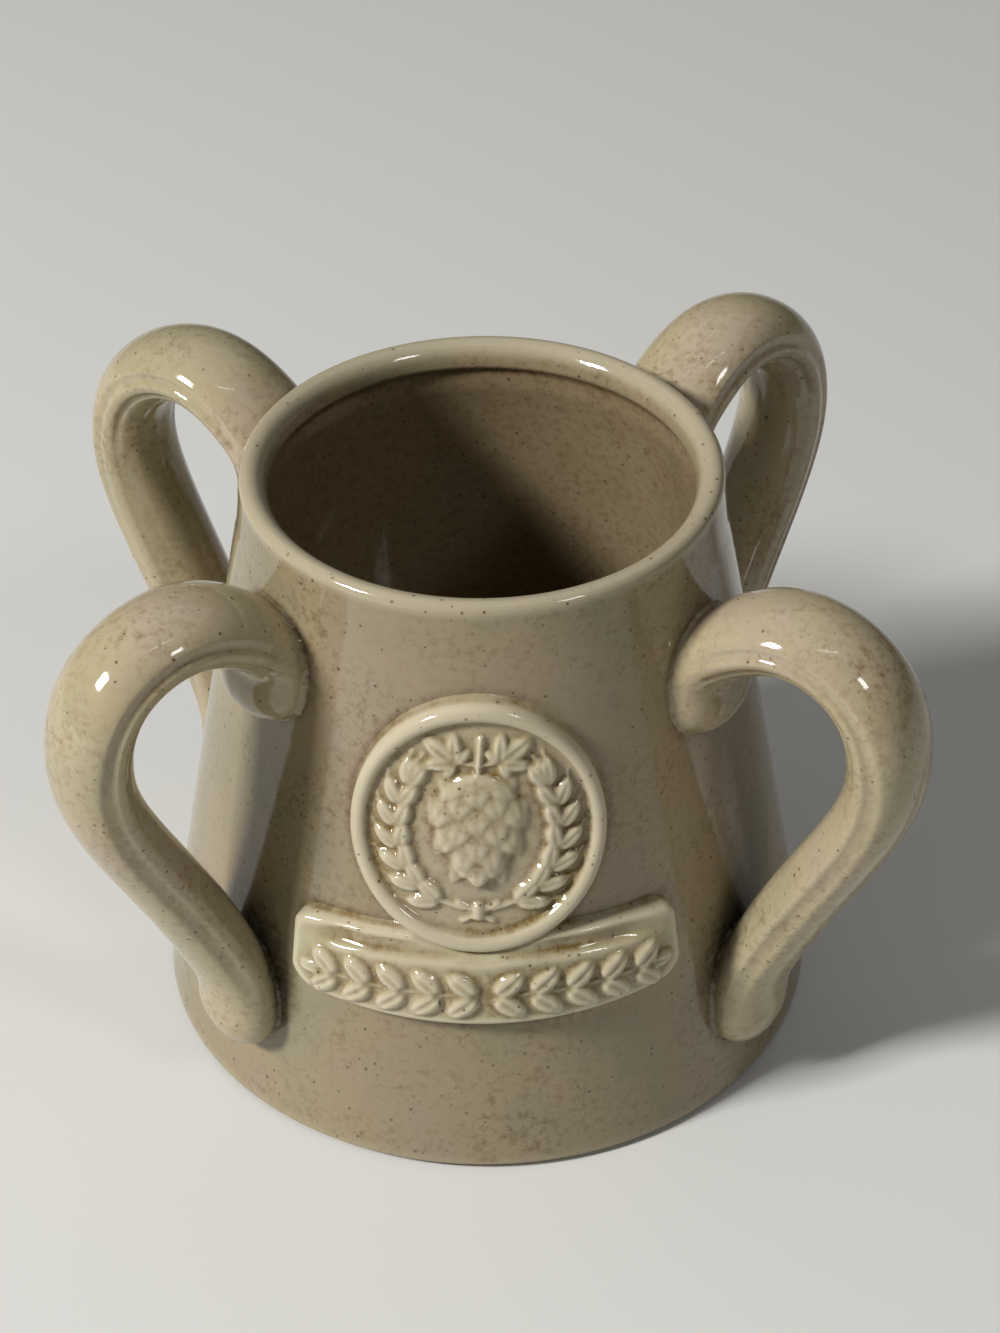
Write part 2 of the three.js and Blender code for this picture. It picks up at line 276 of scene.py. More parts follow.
def spun(name, outline, steps):
    """A closed body from an outline of (radius, height) that starts and ends on the axis."""
    solid = bmesh.new()
    verts = [solid.verts.new((x * MM, 0, z * MM)) for x, z in outline]
    edges = [solid.edges.new(pair) for pair in zip(verts, verts[1:])]
    bmesh.ops.spin(solid, geom=verts + edges, axis=(0, 0, 1), cent=(0, 0, 0),
                   angle=math.tau, steps=steps, use_merge=True)
    bmesh.ops.remove_doubles(solid, verts=solid.verts, dist=1e-6)
    bmesh.ops.recalc_face_normals(solid, faces=solid.faces)
    mesh = bpy.data.meshes.new(name)
    solid.to_mesh(mesh)
    solid.free()
    return place_object(name, mesh)


cup = spun("cup", finer(cup_outline(), OUTLINE_STEP), SPIN_STEPS)
face_outwards(cup)

# %% [markdown]
# ## The glaze
# The mug is stoneware: a buff clay full of small iron specks, fired dense under one coat of clear
# glossy glaze. The eye sees the clay through that coat. Its cream drifts to a warm pink and a grey
# green, fine brown grain lies on it in patches, and iron bleeds through as brown and black specks.
# The coat runs thin and pale over every crest, and pools yellow-brown in every hollow. Its skin is
# glass, with sharp reflections on a very slightly rippled surface. Painting all this would need a
# flat map of each piece. Patterns that are worked out in space need none: they are set by their real
# size, from the object's own coordinates, and run on without a seam from one piece to the next.

# %% Patterns by their real size
# Size in millimetres, detail and roughness of each noise
NOISES = {"cloud": (22.0, 3.0, 0.55), "patch": (15.0, 6.0, 0.65), "grain": (1.3, 4.0, 0.7),
          "ripple": (4.5, 2.0, 0.5)}


def glaze_patterns(add):
    """The object's own coordinates, and the noises on them by name."""
    place = add("ShaderNodeTexCoord").outputs["Object"]
    noise = {name: add("ShaderNodeTexNoise", {
        "Vector": place, "Scale": 1 / (size * MM), "Detail": detail, "Roughness": roughness})
        for name, (size, detail, roughness) in NOISES.items()}
    return place, noise


# %% [markdown]
# ## Layers of colour
# A material can be painted as a pot is, one layer over another. Each layer is a share from 0 to 1, a
# tint, and the way it is mixed in. The shares come from the noises above, and from four attributes
# that the pieces carry: *inside*, *crest*, *pool* and *grime*. The last is old dirt
# with painted shade over it, in the dark wedges behind the tails.

# %% The clay and the coat on it
GRAIN_TINT = "#a88c60"
# Near black: old dirt with painted shade, for the wedges behind the tails
DIRT_AND_SHADE_TINT = "#20160b"
CREST_STRENGTH = 0.75
INSIDE_GRAIN = 0.5


def coat_layers(add, noise, blush, green, inner, crested, pooled):
    """Layers for the drift of the clay, its grain, the glaze on it, and dirt with painted shade."""
    inside, crest, pool, grime = (
        add("ShaderNodeAttribute", attribute_name=name).outputs["Fac"]
        for name in ("inside", "crest", "pool", "grime"))
    warmer = add("ShaderNodeMapRange", [noise["cloud"], 0.50, 0.36, 0.0, 1.0])
    greener = add("ShaderNodeMapRange", [noise["cloud"], 0.50, 0.64, 0.0, 1.0])
    # The coat inside the cup is thinner, and worn in patches
    worn_patch = add("ShaderNodeMapRange", [noise["patch"], 0.35, 0.65, 0.55, 1.0])
    worn = add("ShaderNodeMath", [inside, worn_patch], operation="MULTIPLY")
    # Grain comes in patches, and all over the inside
    grain_patch = add("ShaderNodeMapRange", [noise["patch"], 0.40, 0.66, 0.12, 0.8])
    grain_inside = add("ShaderNodeMath", [inside, INSIDE_GRAIN], operation="MULTIPLY")
    most = add("ShaderNodeMath", [grain_patch, grain_inside], operation="MAXIMUM")
    grains = add("ShaderNodeMapRange", [noise["grain"], 0.47, 0.72, 0.0, 1.0])
    grainy = add("ShaderNodeMath", [most, grains], operation="MULTIPLY")
    # Glaze is thin over crests and gathers unevenly in hollows. Dirt and painted shade lie where no cloth
    # goes and little light reaches
    thin = add("ShaderNodeMath", [crest, CREST_STRENGTH], operation="MULTIPLY")
    broken = add("ShaderNodeMapRange", [noise["grain"], 0.35, 0.65, 0.5, 1.0])
    patchy = add("ShaderNodeMapRange", [noise["patch"], 0.38, 0.60, 0.30, 1.0])
    uneven = add("ShaderNodeMath", [broken, patchy], operation="MULTIPLY")
    thick = add("ShaderNodeMath", [pool, uneven], operation="MULTIPLY")
    # Dirt and painted shade, broken up by the grain
    dirt_and_shade_share = add("ShaderNodeMath", [grime, broken], operation="MULTIPLY")
    return [(warmer, blush, "MIX"), (greener, green, "MIX"), (worn, inner, "MIX"),
            (grainy, GRAIN_TINT, "MULTIPLY"), (thin, crested, "MIX"), (thick, pooled, "MIX"),
            (dirt_and_shade_share, DIRT_AND_SHADE_TINT, "MIX")]


# %% [markdown]
# ## Iron specks
# A Voronoi pattern cuts space into cells, each with a point and a number of its own. A dot around
# the point in some of the cells gives specks that never line up. The short hairs of iron, which the
# forming tool dragged out, are dots in a pattern that is stretched and turned.

# %% Specks, hairs and dots
# Size of a cell and greatest radius in millimetres, share of the cells with a speck, tint
SPECK_KINDS = {"specks": (1.6, 0.46, 0.60, "#4d3c26"), "hairs": (4.2, 0.36, 0.60, "#33291e"),
               "dots": (5.2, 0.54, 0.34, "#17120e")}
HAIR_TURN = (0.7, 0.5, 0.0)
HAIR_STRETCH = (1.0, 1.0, 0.22)
SMALLEST = 0.35


def speck_layers(add, place):
    """Layers for the iron in the clay, from fine brown specks to a few black dots."""
    dragged = add("ShaderNodeMapping", {"Vector": place, "Rotation": HAIR_TURN, "Scale": HAIR_STRETCH})
    layers = []
    for kind, (cell, size, share, tint) in SPECK_KINDS.items():
        cells = add("ShaderNodeTexVoronoi", {
            "Vector": dragged if kind == "hairs" else place, "Scale": 1 / (cell * MM)})
        number = add("ShaderNodeSeparateColor", [cells.outputs["Color"]])
        chosen = add("ShaderNodeMath", [number, share], operation="LESS_THAN")
        own_size = add("ShaderNodeMapRange", [
            number.outputs[1], 0.0, 1.0, SMALLEST * size / cell, size / cell])
        dot = add("ShaderNodeMapRange", [cells.outputs["Distance"], 0.0, own_size, 1.0, 0.0], **SOFTLY)
        speck = add("ShaderNodeMath", [dot, chosen], operation="MULTIPLY")
        layers.append((speck, tint, "MIX"))
    return layers


# %% Glazed stoneware
GLASS_IOR = 1.52
GLOSS = (0.05, 0.10)
PIT_SHARE = 0.12
RIPPLE_DEPTH = 0.1
RIPPLE_STRENGTH = 0.35


def glazed_stoneware(name, cream, **tints):
    """Buff stoneware under a clear gloss glaze, from the clay up to the skin of glass."""
    material = bpy.data.materials.new(name)
    material.use_nodes = True
    material.node_tree.nodes.clear()
    add = partial(add_node, material.node_tree)
    place, noise = glaze_patterns(add)
    colour = linear(cream)
    for share, tint, way in coat_layers(add, noise, **tints) + speck_layers(add, place):
        layer = add("ShaderNodeMix", data_type="RGBA", blend_type=way, inputs={
            "Factor": share, 6: colour, 7: linear(tint)})
        colour = layer.outputs[2]
    # The skin has slow ripples, and fine pits over the grain
    pitted = add("ShaderNodeMath", [noise["grain"], PIT_SHARE, noise["ripple"]], operation="MULTIPLY_ADD")
    skin = add("ShaderNodeBump", {
        "Strength": RIPPLE_STRENGTH, "Distance": RIPPLE_DEPTH * MM, "Height": pitted})
    gloss = add("ShaderNodeMapRange", [noise["grain"], 0.3, 0.7, *GLOSS])
    surface = add("ShaderNodeBsdfPrincipled", {
        "Base Color": colour, "Roughness": gloss, "IOR": GLASS_IOR, "Normal": skin})
    add("ShaderNodeOutputMaterial", [surface])
    return material


# Painted light: the handles are tinted paler than the cup, for the light on their up-facing tops.
# The reliefs are tinted paler than the cup too, and the crests of the reliefs are palest
TINTS_WITH_PAINTED_LIGHT = {
    "cup": {"cream": "#968769", "blush": "#94856d", "green": "#8e8468", "pooled": "#543a1a",
            "crested": "#b5aa90"},
    "handles": {"cream": "#afa181", "blush": "#ae9f86", "green": "#a79d7e", "pooled": "#5e4520",
                "crested": "#b5aa90"},
    "reliefs": {"cream": "#b0a482", "blush": "#ada086", "green": "#a9a17f", "pooled": "#6e5525",
                "crested": "#c8bda2"}}
INNER_TINT = "#8a785b"
glazes = {part: glazed_stoneware("glazed_stoneware_" + part, inner=INNER_TINT, **tints)
          for part, tints in TINTS_WITH_PAINTED_LIGHT.items()}
print("materials:", [glaze.name for glaze in glazes.values()])

# %% [markdown]
# ## The path of a handle
# Each handle is one roll of clay. It starts as a wide lobe pressed on the wall, turns up and out over
# a crown, comes down in a long slope and lies on the wall again as a fat tail. A smooth path like
# that is a B-spline: a few control points pull the curve towards them and it never kinks. Each point
# is a share of the handle's height and a stand-off from the wall, so the path follows the wall.

# %% The path as a B-spline
CROWN_HEIGHT = 90.7
TAIL_HEIGHT = 13.6
REACH = 30.7
PATH_POINTS = [
    (0.71, 1.9), (0.84, -1.6), (0.93, 0.22 * REACH), (1.00, 0.57 * REACH), (0.93, 0.98 * REACH),
    (0.74, REACH), (0.58, 0.78 * REACH), (0.40, 0.455 * REACH), (0.255, 0.22 * REACH),
    (0.115, 1.0), (0.00, 2.3),
]
RING_COUNT = 320
CROWDING = 0.85


def bspline(points, shares, degree=3):
    """Points on a clamped B-spline with even knots, at shares of its length in knots."""
    spans = len(points) - degree
    knots = np.concatenate([np.zeros(degree), np.linspace(0, 1, spans + 1), np.ones(degree)])
    shares = np.clip(shares, 0, 1 - 1e-9)[:, None]
    basis = ((knots[:-1] <= shares) & (shares < knots[1:])).astype(float)
    for order in range(1, degree + 1):
        width = knots[order:] - knots[:-order]
        slope = np.divide(1.0, width, out=np.zeros_like(width), where=width > 0)
        rise = (shares - knots[:-order - 1]) * slope[:-1] * basis[:, :-1]
        fall = (knots[order + 1:] - shares) * slope[1:] * basis[:, 1:]
        basis = rise + fall
    return basis @ np.asarray(points)


def handle_path(name):
    """The path as a chain of edges, with each vertex's share of the path and distance from its ends.
    The rings crowd at both ends, where the roll is rounded and joined."""
    heights = [TAIL_HEIGHT + share * (CROWN_HEIGHT - TAIL_HEIGHT) for share, _ in PATH_POINTS]
    control = [(wall_radius(z) + off, 0, z) for z, (_, off) in zip(heights, PATH_POINTS)]
    even = np.linspace(0, 1, RING_COUNT)
    shares = even - CROWDING * np.sin(math.tau * even) / math.tau
    places = bspline(control, shares)
    from_end = np.minimum(*(np.linalg.norm(places - end, axis=1) for end in (places[0], places[-1])))
    chain = zip(range(RING_COUNT - 1), range(1, RING_COUNT))
    path = add_object(name, places, edges=chain)
    set_attribute(path, "share", shares)
    set_attribute(path, "from_end", from_end * MM)
    return path


# %% [markdown]
# ## The roll of clay
# Geometry Nodes sweep a section along that path. *Curve to Mesh* lays a ring of vertices at each path
# vertex, and *Set Position* then puts every vertex where the roll's own rules say. The section is an
# oval, as wide as the roll is there. A seam runs along its side from lobe to tail, where two halves
# of a press mould met: sharp over the arch, soft on the slope. Finer grooves follow the arch alone.
# Each is drawn with a *Float Curve*, from the back of the handle, 0, to its finger side, 1.

# %% The tree that makes a roll
SECTION_SIDES = 128
CUT_DEPTH = 0.1
DRAWN = {
    "section": [(0.0, 0.985), (0.35, 0.99), (0.50, 0.985), (0.75, 0.955), (1.0, 0.89)],
    "sharp seam": [(0.0, 0.0), (0.36, 0.0), (0.445, 0.62), (0.505, 0.0), (0.56, 0.12), (0.67, 0.50),
                   (0.80, 0.28), (0.92, 0.0), (1.0, 0.0)],
    "soft seam": [(0.0, 0.0), (0.32, 0.0), (0.43, 0.60), (0.52, 0.07), (0.57, 0.10), (0.67, 0.46),
                  (0.80, 0.16), (0.92, 0.0), (1.0, 0.0)],
    "grooves": [(0.0, 0.0), (0.57, 0.0), (0.615, 0.42), (0.67, 0.0), (0.80, 0.0), (0.85, 0.40),
                (0.90, 0.0), (1.0, 0.0)]}

roll_tree, add, given = new_tree("clay roll", dict.fromkeys([
    "Lobe width", "Grip width", "Tail width", "Lobe thickness", "Grip thickness", "Tail thickness",
    "Tip length", "Lobe joint", "Tail joint", "Deepest", "Sideways", "Drift", "Lobe drift", "Lift",
    "Turn"], "Float") | {"Glaze": "Material"})
share = add("GeometryNodeInputNamedAttribute", ["share"])
from_end = add("GeometryNodeInputNamedAttribute", ["from_end"])

# %% Width and thickness along the roll
# The lobe narrows to the grip and the grip to the tail, softly
upper_width = add("ShaderNodeMapRange", [
    share, 0.0, 0.35, given["Lobe width"], given["Grip width"]], **SOFTLY)
width = add("ShaderNodeMapRange", [share, 0.5, 1.0, upper_width, given["Tail width"]], **SOFTLY)
upper_thickness = add("ShaderNodeMapRange", [
    share, 0.0, 0.2, given["Lobe thickness"], given["Grip thickness"]], **SOFTLY)
thickness = add("ShaderNodeMapRange", [
    share, 0.8, 1.0, upper_thickness, given["Tail thickness"]], **SOFTLY)
# Both ends are rounded as a quarter circle is: the sine of the angle whose cosine runs from 1 to 0
to_tip = add("ShaderNodeMapRange", [from_end, 0.0, given["Tip length"], 1.0, 0.0])
tip_angle = add("ShaderNodeMath", [to_tip], operation="ARCCOSINE")
tip = add("ShaderNodeMath", [tip_angle], operation="SINE")
half_tip = add("ShaderNodeMath", [tip, 0.5], operation="MULTIPLY")

# %% Sweep the section
centre_line = add("GeometryNodeMeshToCurve", [given["Geometry"]])
for name, kind in (("centre", "GeometryNodeInputPosition"), ("tangent", "GeometryNodeInputTangent")):
    centre_line = add("GeometryNodeStoreNamedAttribute", data_type="FLOAT_VECTOR", inputs={
        "Geometry": centre_line, "Name": name, "Value": add(kind)})
ring = add("GeometryNodeCurvePrimitiveCircle", {"Resolution": SECTION_SIDES})
around = add("ShaderNodeMapRange", [add("GeometryNodeSplineParameter"), 0.0, 1.0, -math.pi, math.pi])
ring_with_angle = add("GeometryNodeStoreNamedAttribute", {
    "Geometry": ring, "Name": "angle", "Value": around})
swept = add("GeometryNodeCurveToMesh", {"Curve": centre_line, "Profile Curve": ring_with_angle})
centre, tangent = (
    add("GeometryNodeInputNamedAttribute", [name], data_type="FLOAT_VECTOR")
    for name in ("centre", "tangent"))
angle = add("GeometryNodeInputNamedAttribute", ["angle"])

# %% Draw the section with its seam and grooves
SEAM_STARTS = (0.06, 0.17)
SEAM_STOPS = (0.86, 0.97)
SLOPE_STARTS = (0.38, 0.52)

turn = add("ShaderNodeMath", [angle], operation="ABSOLUTE")
turned_share = add("ShaderNodeMath", [turn, math.pi], operation="DIVIDE")
curves = {}
for name, places in DRAWN.items():
    curves[name] = add("ShaderNodeFloatCurve", {"Value": turned_share})
    points = curves[name].mapping.curves[0].points
    while len(points) < len(places):
        points.new(0.5, 0.5)
    for point, place in zip(points, places):
        point.location = place
    curves[name].mapping.update()
past_lobe = add("ShaderNodeMapRange", [share, *SEAM_STARTS, 0.0, CUT_DEPTH], **SOFTLY)
before_tail = add("ShaderNodeMapRange", [share, *SEAM_STOPS, 1.0, 0.0], **SOFTLY)
on_arch = add("ShaderNodeMapRange", [share, *SLOPE_STARTS, 1.0, 0.0], **SOFTLY)
seam_depth = add("ShaderNodeMath", [past_lobe, before_tail], operation="MULTIPLY")
groove_depth = add("ShaderNodeMath", [past_lobe, on_arch], operation="MULTIPLY")
grooves = add("ShaderNodeMath", [curves["grooves"], groove_depth], operation="MULTIPLY")
seam = add("ShaderNodeMapRange", [on_arch, 0.0, 1.0, curves["soft seam"], curves["sharp seam"]])
cuts = add("ShaderNodeMath", [seam, seam_depth, grooves], operation="MULTIPLY_ADD")
section = add("ShaderNodeMath", [curves["section"], cuts], operation="SUBTRACT")

# %% Put the vertices on the section
sized = add("ShaderNodeMath", [section, half_tip], operation="MULTIPLY")
sine = add("ShaderNodeMath", [angle], operation="SINE")
cosine = add("ShaderNodeMath", [angle], operation="COSINE")
half_width = add("ShaderNodeMath", [width, sized], operation="MULTIPLY")
half_thickness = add("ShaderNodeMath", [thickness, sized], operation="MULTIPLY")
across = add("ShaderNodeMath", [sine, half_width], operation="MULTIPLY")
outward = add("ShaderNodeMath", [cosine, half_thickness], operation="MULTIPLY")
# The roll's normal lies in the plane of its path, at a right angle to the tangent
tangent_parts = add("ShaderNodeSeparateXYZ", [tangent]).outputs
minus_rise = add("ShaderNodeMath", [tangent_parts["Z"], -1.0], operation="MULTIPLY")
normal = add("ShaderNodeCombineXYZ", [minus_rise, 0.0, tangent_parts["X"]])
off_path = add("ShaderNodeVectorMath", {"Vector": normal, "Scale": outward}, operation="SCALE")
sideways = add("ShaderNodeCombineXYZ", [0.0, across, 0.0])
offset = add("ShaderNodeVectorMath", [off_path, sideways], operation="ADD")

# %% Set the handle on its place
# The path's own place: beside the axis, its ends drifting sideways, and a little higher or lower
LOBE_DRIFT_STOPS = 0.35
TAIL_DRIFT_STARTS = 0.5
tail_share = add("ShaderNodeMapRange", [share, TAIL_DRIFT_STARTS, 1.0, 0.0, 1.0])
tail_drift = add("ShaderNodeMath", [tail_share, 2.0], operation="POWER")
beside_tail = add("ShaderNodeMath", [tail_drift, given["Drift"], given["Sideways"]],
                  operation="MULTIPLY_ADD")
lobe_share = add("ShaderNodeMapRange", [share, 0.0, LOBE_DRIFT_STOPS, 1.0, 0.0])
lobe_drift = add("ShaderNodeMath", [lobe_share, 2.0], operation="POWER")
beside = add("ShaderNodeMath", [lobe_drift, given["Lobe drift"], beside_tail], operation="MULTIPLY_ADD")
shift = add("ShaderNodeCombineXYZ", [0.0, beside, given["Lift"]])
path_place = add("ShaderNodeVectorMath", [centre, shift], operation="ADD")
surface = add("ShaderNodeVectorMath", [path_place, offset], operation="ADD")

# %% [markdown]
# ## The joint with the wall
# A potter joins a handle with slip and runs a finger round the joint, and the glaze fills what is
# left. So near the wall each vertex moves sideways along the wall on a quarter circle, which gives
# the roll a concave foot that meets the wall without a seam. A separate ring of slip would do too,
# but it would have to follow a joint that is different on every handle.

# %% Gap to the wall, and the concave foot
level = add("ShaderNodeVectorMath", [surface, (1.0, 1.0, 0.0)], operation="MULTIPLY")
radius = add("ShaderNodeVectorMath", [level], operation="LENGTH").outputs["Value"]
height = add("ShaderNodeSeparateXYZ", [surface]).outputs["Z"]
wall = add("ShaderNodeMapRange", [
    height, FOOT_TOP * MM, COLLAR_BASE * MM, FOOT_RADIUS * MM, COLLAR_RADIUS * MM])
level_gap = add("ShaderNodeMath", [radius, wall], operation="SUBTRACT")
gap = add("ShaderNodeMath", [level_gap, math.cos(WALL_LEAN)], operation="MULTIPLY")
# The quarter circle: how far a vertex moves along the wall, more at the tail than at the lobe
joint = add("ShaderNodeMapRange", [share, 0.86, 1.0, given["Lobe joint"], given["Tail joint"]])
nearness = add("ShaderNodeMapRange", [gap, 0.0, joint, 1.0, 0.0])
circle_angle = add("ShaderNodeMath", [nearness], operation="ARCSINE")
circle_rise = add("ShaderNodeMath", [circle_angle], operation="COSINE")
flare_share = add("ShaderNodeMath", [1.0, circle_rise], operation="SUBTRACT")
flare = add("ShaderNodeMath", [flare_share, joint], operation="MULTIPLY")
# Its direction: away from the path, without the part that points into the wall
level_out = add("ShaderNodeVectorMath", [level], operation="NORMALIZE")
lean_out = add("ShaderNodeVectorMath", {"Vector": level_out, "Scale": math.cos(WALL_LEAN)},
               operation="SCALE")
wall_normal = add("ShaderNodeVectorMath", [lean_out, (0.0, 0.0, math.sin(WALL_LEAN))], operation="ADD")
into_wall = add("ShaderNodeVectorMath", [offset, wall_normal], operation="PROJECT")
along_wall = add("ShaderNodeVectorMath", [offset, into_wall], operation="SUBTRACT")
direction = add("ShaderNodeVectorMath", [along_wall], operation="NORMALIZE")
flared = add("ShaderNodeVectorMath", {"Vector": direction, "Scale": flare}, operation="SCALE")
# What would reach too deep into the wall is lifted back, so it never shows inside the cup
depth = add("ShaderNodeMath", [gap, given["Deepest"]], operation="ADD")
too_deep = add("ShaderNodeMath", [depth, 0.0], operation="MINIMUM")
lift_back = add("ShaderNodeMath", [too_deep, -1.0], operation="MULTIPLY")
lifted = add("ShaderNodeVectorMath", {"Vector": wall_normal, "Scale": lift_back}, operation="SCALE")
on_wall = add("ShaderNodeVectorMath", [surface, lifted], operation="ADD")
final_place = add("ShaderNodeVectorMath", [on_wall, flared], operation="ADD")

# %% Pool, dirt with painted shade, and the end of the tree
GROOVE_CUTS = (0.01, 0.06)
GROOVE_POOL = 0.22
JOINT_POOL_REACH = 0.8
DIRT_AND_SHADE_GAP = 4.0
DIRT_AND_SHADE_ON_ROLL = 0.8
TAIL_STARTS = (0.70, 0.80)
FINGER_SIDE = (0.45, 0.75)

# Glaze pools in the joint and, thinner, in the grooves of the section
in_groove = add("ShaderNodeMapRange", [cuts, *GROOVE_CUTS, 0.0, GROOVE_POOL])
in_joint = add("ShaderNodeMapRange", [gap, 0.0, JOINT_POOL_REACH * MM, 1.0, 0.0], **SOFTLY)
pool = add("ShaderNodeMath", [in_groove, in_joint], operation="MAXIMUM")
# Dirt and painted shade sit on the finger side of the tail, where it comes close to the wall
near_wall = add("ShaderNodeMapRange", [gap, 0.0, DIRT_AND_SHADE_GAP * MM, DIRT_AND_SHADE_ON_ROLL, 0.0], **SOFTLY)
on_tail = add("ShaderNodeMapRange", [share, *TAIL_STARTS, 0.0, 1.0], **SOFTLY)
finger_side = add("ShaderNodeMapRange", [turned_share, *FINGER_SIDE, 0.0, 1.0], **SOFTLY)
behind_tail = add("ShaderNodeMath", [near_wall, on_tail], operation="MULTIPLY")
grime = add("ShaderNodeMath", [behind_tail, finger_side], operation="MULTIPLY")
for name, value in (("pool", pool), ("grime", grime)):
    swept = add("GeometryNodeStoreNamedAttribute", {"Geometry": swept, "Name": name, "Value": value})
placed = add("GeometryNodeSetPosition", {"Geometry": swept, "Position": final_place})
merged = add("GeometryNodeMergeByDistance", {"Geometry": placed, "Distance": 1e-6})
facing = add("ShaderNodeCombineXYZ", [0.0, 0.0, given["Turn"]])
faced = add("GeometryNodeTransform", {"Geometry": merged, "Rotation": facing})
for name in ("share", "from_end", "centre", "tangent", "angle"):
    faced = add("GeometryNodeRemoveAttribute", {"Geometry": faced, "Name": name})
end_tree(roll_tree, faced, given["Glaze"])

# %% [markdown]
# ## Four handles
# One tree and one path make all four handles. Only their places differ: the direction of each
# handle's plane, how far that plane passes beside the axis, how high it was pressed on, and how far
# its ends drifted before the clay stuck. These small differences are what makes it look hand-joined.

# %% Sweep the handles
ROLL_SIZES = {
    "Lobe width": 18.6, "Grip width": 16.4, "Tail width": 16.0,
    "Lobe thickness": 10.3, "Grip thickness": 11.7, "Tail thickness": 10.6,
    "Tip length": 7.0, "Lobe joint": 1.0, "Tail joint": 1.1, "Deepest": 1.2, "Lobe drift": 0.0}
HANDLE_PLACES = {
    "front_left": {"azimuth": -57.0, "Sideways": 0.9, "Lift": -0.8, "Drift": 5.0, "Lobe drift": -2.0},
    "front_right": {"azimuth": 52.7, "Sideways": 1.5, "Lift": -4.7, "Drift": -4.2},
    "back_right": {"azimuth": 132.0, "Sideways": -0.2, "Lift": 3.3, "Drift": 0.5},
    "back_left": {"azimuth": -127.5, "Sideways": -1.0, "Lift": 2.5, "Drift": 1.0}}

pressed_on = bpy.data.collections.new("pressed_on")
rolls = bpy.data.collections.new("rolls")
for group in (pressed_on, rolls):
    bpy.context.scene.collection.children.link(group)
handles = {}
for name, place in HANDLE_PLACES.items():
    handle = handle_path("roll_" + name)
    sizes = {key: value * MM for key, value in (ROLL_SIZES | place).items() if key != "azimuth"}
    run_tree(handle, roll_tree, sizes | {
        "Turn": math.radians(place["azimuth"] - 90), "Glaze": glazes["handles"]})
    face_outwards(handle)
    pressed_on.objects.link(handle)
    rolls.objects.link(handle)
    handles[name] = handle

# %% [markdown]
# ## Reliefs as height maps
# The plaque and the ribbon come out of press moulds, so each is a height above the wall. A height
# map is an easy way to carve one: every leaf and grain is a low dome, and where two meet the higher
# one wins. Then the map is blurred a little, which is what a coat of glaze does: it rounds the
# edges and fills the hollows. A wider blur shows where glaze gathers and where it runs off, so it
# tells the material where to go browner and where paler.

# %% A rectangle of the wall to carve
MAP_STEP = 0.12
GLAZE_SOFTNESS = 0.20
POOL_SPREAD = 0.8
POOL_DEPTH = 0.20
BLUNTNESS = 0.75
CREASE_WIDTH = 0.1
TAPER = 2.6


def smooth_step(value, low, high):
    """Rises softly from 0 at low to 1 at high."""
    share = np.clip((value - low) / (high - low), 0, 1)
    return share * share * (3 - 2 * share)


